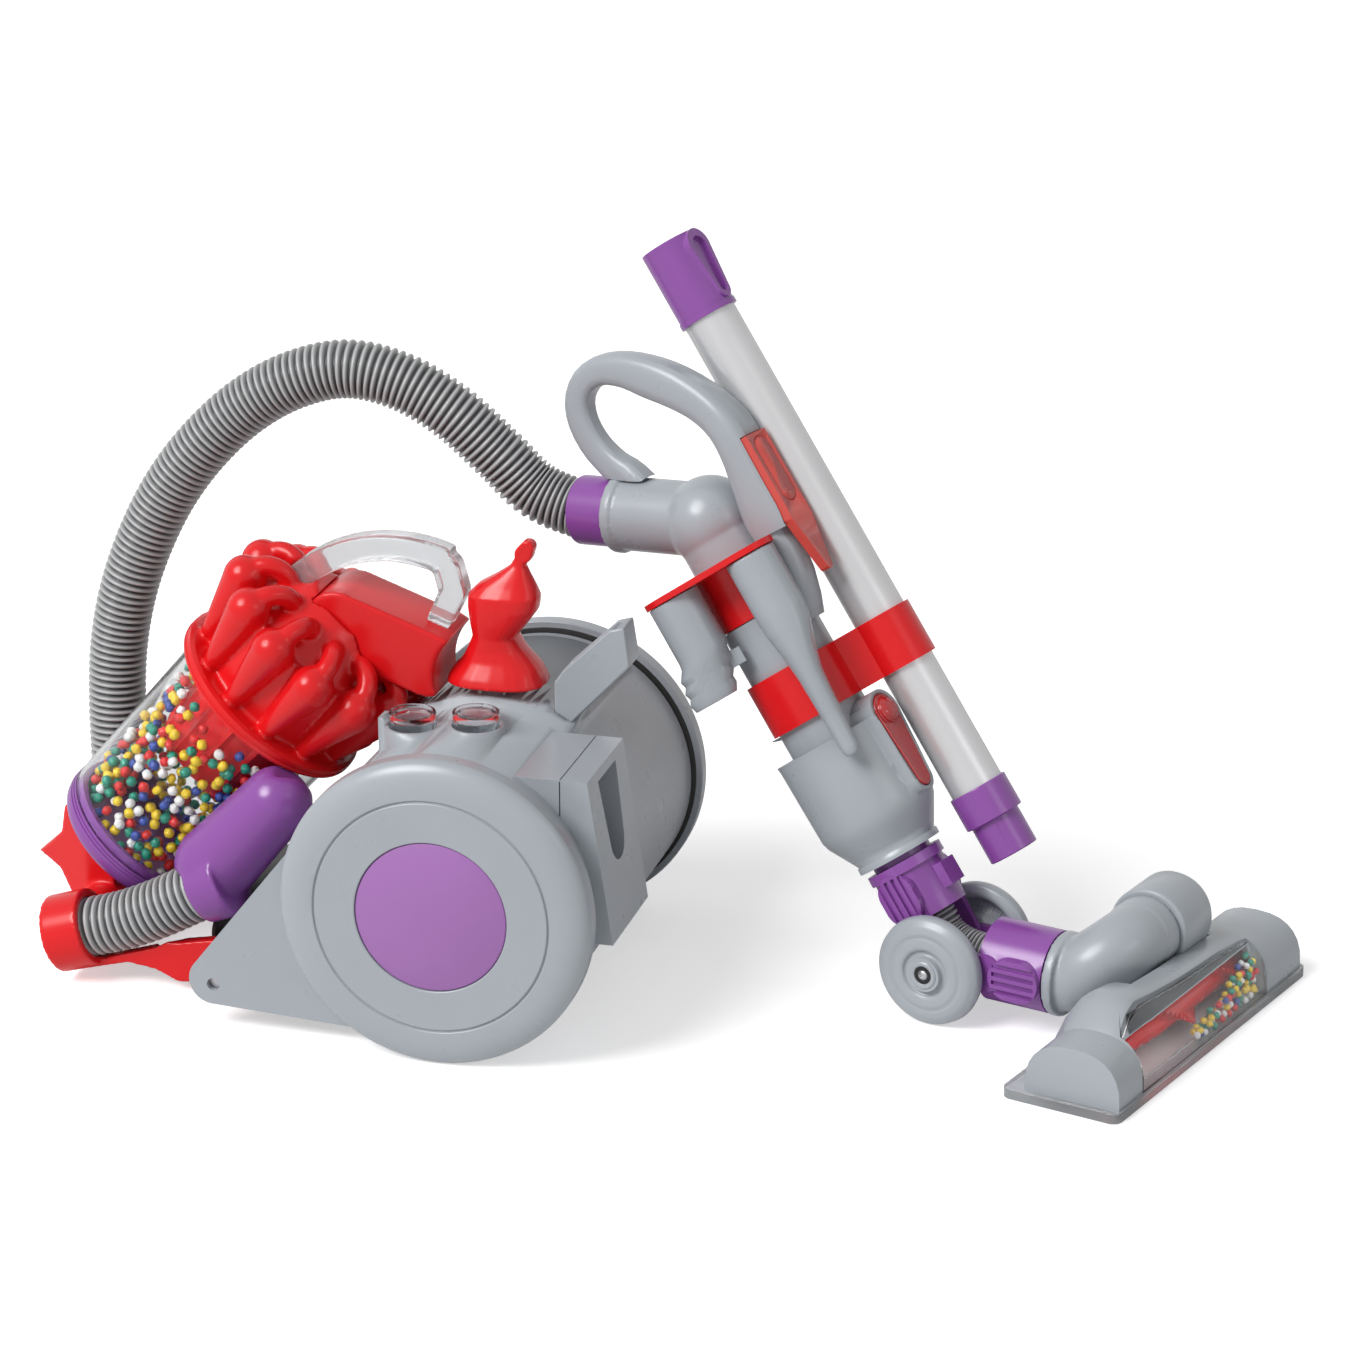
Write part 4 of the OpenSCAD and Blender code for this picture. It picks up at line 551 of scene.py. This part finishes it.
# %% [markdown]
# A bead is a small cube with its edges cut off, a couple of dozen faces in all. Hundreds of them are
# set down at random, each a little away from the last ones, turned its own way and painted one of five
# colours. Most lie low; the moving air keeps the rest against the wall.


# %% Beads
YELLOW, RED, WHITE = (0.88, 0.62, 0.02), (0.74, 0.02, 0.02), (0.86, 0.86, 0.84)
TEAL, BLUE = (0.01, 0.3, 0.2), (0.03, 0.07, 0.36)
BEAD_TINTS = (YELLOW, YELLOW, YELLOW, RED, RED, WHITE, WHITE, TEAL, TEAL, BLUE)
random.seed(11)


def cut_edges(drawing, width):
    """Cut a narrow face along every edge."""
    rims = list(drawing.edges)
    bmesh.ops.bevel(
        drawing, geom=rims, offset=width, offset_type="OFFSET", affect="EDGES", segments=1, profile=0.5, material=-1
    )


def bead_shape(size):
    """One bead: a cube with cut edges, in millimetres."""
    drawing = bmesh.new()
    bmesh.ops.create_cube(drawing, size=size)
    cut_edges(drawing, size * 0.27)
    mesh = bpy.data.meshes.new("bead")
    drawing.to_mesh(mesh)
    drawing.free()
    return mesh


def bead_heap(name, places, size, matrix, body, stands_for):
    """Beads at places in a frame, in millimetres, each with its own turn and colour."""
    one = bead_shape(size)
    drawing = bmesh.new()
    drawing.from_mesh(one)
    bmesh.ops.delete(drawing, geom=drawing.verts, context="VERTS")
    colours = drawing.loops.layers.float_color.new("bead_colour")
    for spot in places:
        before, first = len(drawing.verts), len(drawing.faces)
        drawing.from_mesh(one)
        drawing.verts.ensure_lookup_table()
        drawing.faces.ensure_lookup_table()
        turn = Vector((random.uniform(-1, 1), random.uniform(-1, 1), random.uniform(-1, 1))).to_track_quat("Z", "Y")
        stretch = Matrix.Diagonal((1, 1, random.uniform(0.8, 1.25), 1))
        set_down = matrix @ Matrix.Translation(spot) @ turn.to_matrix().to_4x4() @ stretch
        bmesh.ops.transform(drawing, verts=drawing.verts[before:], matrix=set_down)
        tint = (*random.choice(BEAD_TINTS), 1)
        for face in drawing.faces[first:]:
            for loop in face.loops:
                loop[colours] = tint
    bpy.data.meshes.remove(one)
    return piece(name, drawing, body, bead_paint, stands_for, sharp=60)


def scattered(count, spacing, guess, allowed):
    """Up to count random places that are allowed and at least a spacing apart."""
    kept = []
    for _ in range(count * 60):
        spot = guess()
        if allowed(spot) and all((spot - other).length > spacing for other in kept):
            kept.append(spot)
        if len(kept) == count:
            break
    return kept


def bin_guess():
    turn, reach = random.uniform(0, 2 * math.pi), 38.5 * math.sqrt(random.uniform(0.62, 1))
    return Vector((reach * math.cos(turn), reach * math.sin(turn), 3.5 + 88 * random.random() ** 1.5))


def in_bin(spot):
    reach = math.hypot(spot.x, spot.y)
    wall = 39.6 + 3 * (spot.z - 8) / 99 - 3.1
    return reach < min(wall, 34 if spot.z < 15 else 99) and (spot.z < 57 or reach > 29 + 3.6 * (spot.z - 62) / 54 + 3)


bin_places = scattered(560, 4.35, bin_guess, in_bin)
bin_heap = bead_heap("bin_heap", bin_places, 4.5, BIN, "canister", ["bin_beads"])
print("beads in the bin:", len(bin_places))

# %% [markdown]
# ## The floor head's brush
# Behind the window turns a red brush: a core with two rows of tufts that wind round it. Each tuft is a
# short cone. Above it the window frame's inner wall lies in shade, painted as a thin dark strip, and a
# handful of the same beads rattles in front of it, at the far end.

# %% Brush
BRUSH = HEAD @ Matrix.Translation((6, 0, 14)) @ Matrix.Rotation(math.radians(-90), 4, "X")
drawing = bmesh.new()
core = [(0, -80), (2.9, -80), (2.9, -73.5), (5.4, -73.5), (6, -72.8)]
core += [(6, 72.8), (5.4, 73.5), (2.9, 73.5), (2.9, 80), (0, 80)]
turned(drawing, core, BRUSH, 40)
TUFTS = 46
for row in (0, 180):
    for k in range(TUFTS):
        made = bmesh.ops.create_cone(drawing, cap_ends=True, segments=7, radius1=1.5, radius2=0.9, depth=6.6)["verts"]
        height = -68 + 136 * k / (TUFTS - 1)
        spread = Matrix.Rotation(math.radians(row + 9 * k), 4, "Z") @ Matrix.Rotation(math.radians(90), 4, "Y")
        stand = BRUSH @ Matrix.Translation((0, 0, height)) @ spread @ Matrix.Translation((0, 0, 8.6))
        bmesh.ops.transform(drawing, verts=made, matrix=stand)
brush = piece("brush", drawing, "brush_body", red, ["brush_roller"])

# %% Painted shade on the inner wall in the window
drawing = bmesh.new()
# A thin dark strip in the window: painted shade on the frame's inner wall.
top = [drawing.verts.new((14.9, -66, 37.8)), drawing.verts.new((16.3, 59, 29.8))]
ledge = drawing.edges.new(top)
dropped = bmesh.ops.extrude_edge_only(drawing, edges=[ledge])["geom"]
low = [g for g in dropped if isinstance(g, bmesh.types.BMVert)]
for corner in low:
    corner.co.x, corner.co.z = 16.8, 28.4
bmesh.ops.recalc_face_normals(drawing, faces=drawing.faces)
bmesh.ops.solidify(drawing, geom=drawing.faces[:], thickness=0.25)
bmesh.ops.transform(drawing, verts=drawing.verts, matrix=HEAD)
window_shade_strip = piece("window_painted_shade", drawing, "head", painted_shade_grey)
print("painted shade strip corners:", len(window_shade_strip.data.vertices))


# %% Beads in the head
def head_guess():
    return Vector((random.uniform(17, 25), 57 - 66 * random.random() ** 1.3, random.uniform(5.8, 24)))


def in_head(spot):
    clear_of_brush = math.hypot(spot.x - 6, spot.z - 14) > 14.1
    lean = max(0.0, min(1.0, (spot.z - 7) / 29))
    inside = spot.x < 4.2 + 24.1 * math.sqrt(1 - lean**2) ** 0.8 - 4.2
    return clear_of_brush and inside and spot.z < 7 + 15 * (spot.y + 12) / 60


head_places = scattered(85, 3.1, head_guess, in_head)
head_heap = bead_heap("head_heap", head_places, 3.0, HEAD, "head", ["head_beads"])
print("beads in the head:", len(head_places))

# %% [markdown]
# ## Wheel details
# The far wheel is open on its inner side, and the photograph shows that hollow in shade as a black
# crescent, so a thin black ring is painted in it as shade. Each small neck wheel has a screw in its hub,
# and a black ring round the screw is painted shade for the well it sits in.

# %% Painted shade in the far wheel's hollow and the hub wells, and the hub screws
# A thin black ring on the far wheel: painted shade in its hollow.
drawing = bmesh.new()
FAR_SIDE = CANISTER @ Matrix.Translation((0, 96.9, 75)) @ Matrix.Rotation(math.radians(90), 4, "X")
turned(drawing, [(14, -0.05), (14, 0.25), (71.4, 0.25), (71.9, -0.05)], FAR_SIDE, 120)
piece("far_wheel_painted_shade", drawing, "far_wheel_body", black)

for side, body in ((-1, "near_neck_wheel_body"), (1, "far_neck_wheel_body")):
    label = "near" if side < 0 else "far"
    face = NECK @ Matrix.Translation((0, 33.05 * side, 0)) @ Matrix.Rotation(math.radians(-90 * side), 4, "X")
    drawing = bmesh.new()
    turned(drawing, [(0, 0.1), (4.4, 0.1), (4.8, 0.5), (6.2, 0.7), (6.8, 0.3), (6.8, -0.6)], face, 48)
    piece(label + "_hub_ring", drawing, body, grey)
    # A black ring round the screw: painted shade in the hub's well.
    drawing = bmesh.new()
    turned(drawing, [(2.4, 0.0), (2.6, 0.35), (4.3, 0.35), (4.5, 0.05)], face, 40)
    piece(label + "_hub_painted_shade", drawing, body, black)
    drawing = bmesh.new()
    turned(drawing, [(0, 0.2), (0.7, 0.25), (0.8, 0.75), (1.8, 0.62), (2.2, 0.3), (2.3, 0.05)], face, 32)
    piece(label + "_hub_screw", drawing, body, steel)

# %% [markdown]
# ## The grip's tail and the release knob
# Below the trigger the grip runs out in a grey tail that carries the trigger's point and sinks into the
# wand. It is one ring, extruded and squeezed from step to step. The release button ends in a round knob
# for the thumb, turned as a low dome.

# %% Tail and knob
TAIL = ((29, 218, 10, 10.2), (28.8, 206, 9.9, 10), (27.8, 193, 9, 9.6), (26, 181, 7, 8.8), (24.6, 172, 4.5, 7))
drawing = bmesh.new()
ring = bmesh.ops.create_circle(drawing, segments=40, radius=1)["verts"]
edges = list(drawing.edges)
bmesh.ops.holes_fill(drawing, edges=edges)
for number, (across, height, deep, wide) in enumerate(TAIL):
    if number:
        made = bmesh.ops.extrude_edge_only(drawing, edges=edges)["geom"]
        ring = [g for g in made if isinstance(g, bmesh.types.BMVert)]
        edges = [g for g in made if isinstance(g, bmesh.types.BMEdge) and g.verts[0] in ring and g.verts[1] in ring]
        last = TAIL[number - 1]
        back = Matrix.Diagonal((1 / last[2], 1 / last[3], 1, 1)) @ Matrix.Translation((-last[0], 0, -last[1]))
        bmesh.ops.transform(drawing, verts=ring, matrix=back)
    step = Matrix.Translation((across, 0, height)) @ Matrix.Diagonal((deep, wide, 1, 1))
    bmesh.ops.transform(drawing, verts=ring, matrix=step)
bmesh.ops.holes_fill(drawing, edges=edges)
bmesh.ops.recalc_face_normals(drawing, faces=drawing.faces)
bmesh.ops.transform(drawing, verts=drawing.verts, matrix=WAND)
grip_tail = piece("grip_tail", drawing, "wand", grey)

drawing = bmesh.new()
KNOB = WAND @ Matrix.Translation((36.2, 0, 117)) @ Matrix.Rotation(math.radians(90), 4, "Y")
turned(drawing, [(0, 2.4), (2.4, 2.2), (4.6, 1.5), (5.9, 0.5), (6.3, -0.4)], KNOB, 48)
release_knob = piece("release_knob", drawing, "release_button_body", deep_red)
print("tail faces:", len(grip_tail.data.polygons))

# %% [markdown]
# ## Seams on the canister
# The parking dock is closed by a lid, and the photograph shows the joint as a thin dark line across its
# top and down its side. Such a joint is a narrow strip of shadow, so a thin dark ribbon lies in it.

# %% Dock seam
drawing = bmesh.new()
SEAM_X, SEAM_W, SEAM_PROUD = 54, 0.5, 0.14
for middle, sizes in (((SEAM_X, -52, 137), (SEAM_W, 60.5, SEAM_PROUD)), ((SEAM_X, -83, 116), (SEAM_W, SEAM_PROUD, 41))):
    strip = bmesh.ops.create_cube(drawing, size=1)["verts"]
    set_down = Matrix.Translation(middle) @ Matrix.Diagonal((*sizes, 1))
    bmesh.ops.transform(drawing, verts=strip, matrix=set_down)
cut_edges(drawing, 0.03)
bmesh.ops.transform(drawing, verts=drawing.verts, matrix=CANISTER)
dock_seam = piece("dock_seam", drawing, "canister", black)
print("seam faces:", len(dock_seam.data.polygons))

# %% [markdown]
# ## Melted mouldings
# The cyclone crown, the scoop, the lever and the grip have no crisp corners: where one form meets
# another, the plastic runs over in a small round. Drawing one skin over the measured solid and easing
# it gives those rounds everywhere at once, which no edge bevel could do on so many crossing forms.

# %% Melted mouldings
for node_name, material, grain, rounds in (
    ("cyclone_head", red, 1.15, 4),
    ("inlet_elbow", purple, 1.0, 16),
    ("release_lever", red, 0.8, 5),
    ("cyclone_duct", red, 0.9, 6),
    ("front_base", red, 1.0, 5),
    ("handle_elbow", grey, 0.9, 4),
    ("crevice_tool", grey, 0.8, 4),
    ("head_elbow", grey, 0.9, 6),
    ("carry_handle", smoky, 0.8, 8),
):
    melted(node_name, material, grain, rounds)

# %% [markdown]
# ## Mouldings that keep their measured shape
# The rest has crisp forms. Most take a small round on every edge, and the dock, latch bracket, head shell
# and big wheels a larger one; the housings, cheeks, bell collar, trigger, neck wheels and wand sleeve
# get no round and are only shaded smooth.

# %% Measured mouldings
CHOSEN = {
    grey: "lower_housing upper_housing near_cheek far_cheek parking_dock latch_bracket near_wheel far_wheel "
    "wand_sleeve bell_collar grip_near grip_far short_tool near_neck_wheel far_neck_wheel head_shell head_barrel "
    "battery_cover",
    purple: "hose_cuff tube_top_sleeve tube_bottom_sleeve upper_yoke lower_yoke",
    lilac: "near_wheel_cap far_wheel_cap",
    red: "tool_clip tube_clip",
    clear: "dust_bin power_button mode_button head_window",
    smoky: "sole_plate",
    red_clear: "trigger",
    deep_red: "release_button",
    silver: "extension_tube",
    steel: "wheel_axle roller_pin drive_motor",
    black: "front_roller power_switch impeller battery_cells",
}
EDGE = {"parking_dock": 1.2, "latch_bracket": 0.8, "head_shell": 0.8, "near_wheel": 1.0, "far_wheel": 1.0}
SMOOTH = "lower_housing upper_housing near_cheek far_cheek"
SMOOTH += " bell_collar trigger near_neck_wheel far_neck_wheel wand_sleeve"
EDGE.update({name: 0 for name in SMOOTH.split()})
for material, names in CHOSEN.items():
    for node_name in names.split():
        moulded(node_name, material, EDGE.get(node_name, 0.5))
print("mouldings:", sum(len(n.split()) for n in CHOSEN.values()))

# %% The visible size
shown_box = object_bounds()
sizes = {"cad": [list(c) for c in solid_box], "shown": [list(c) for c in shown_box]}
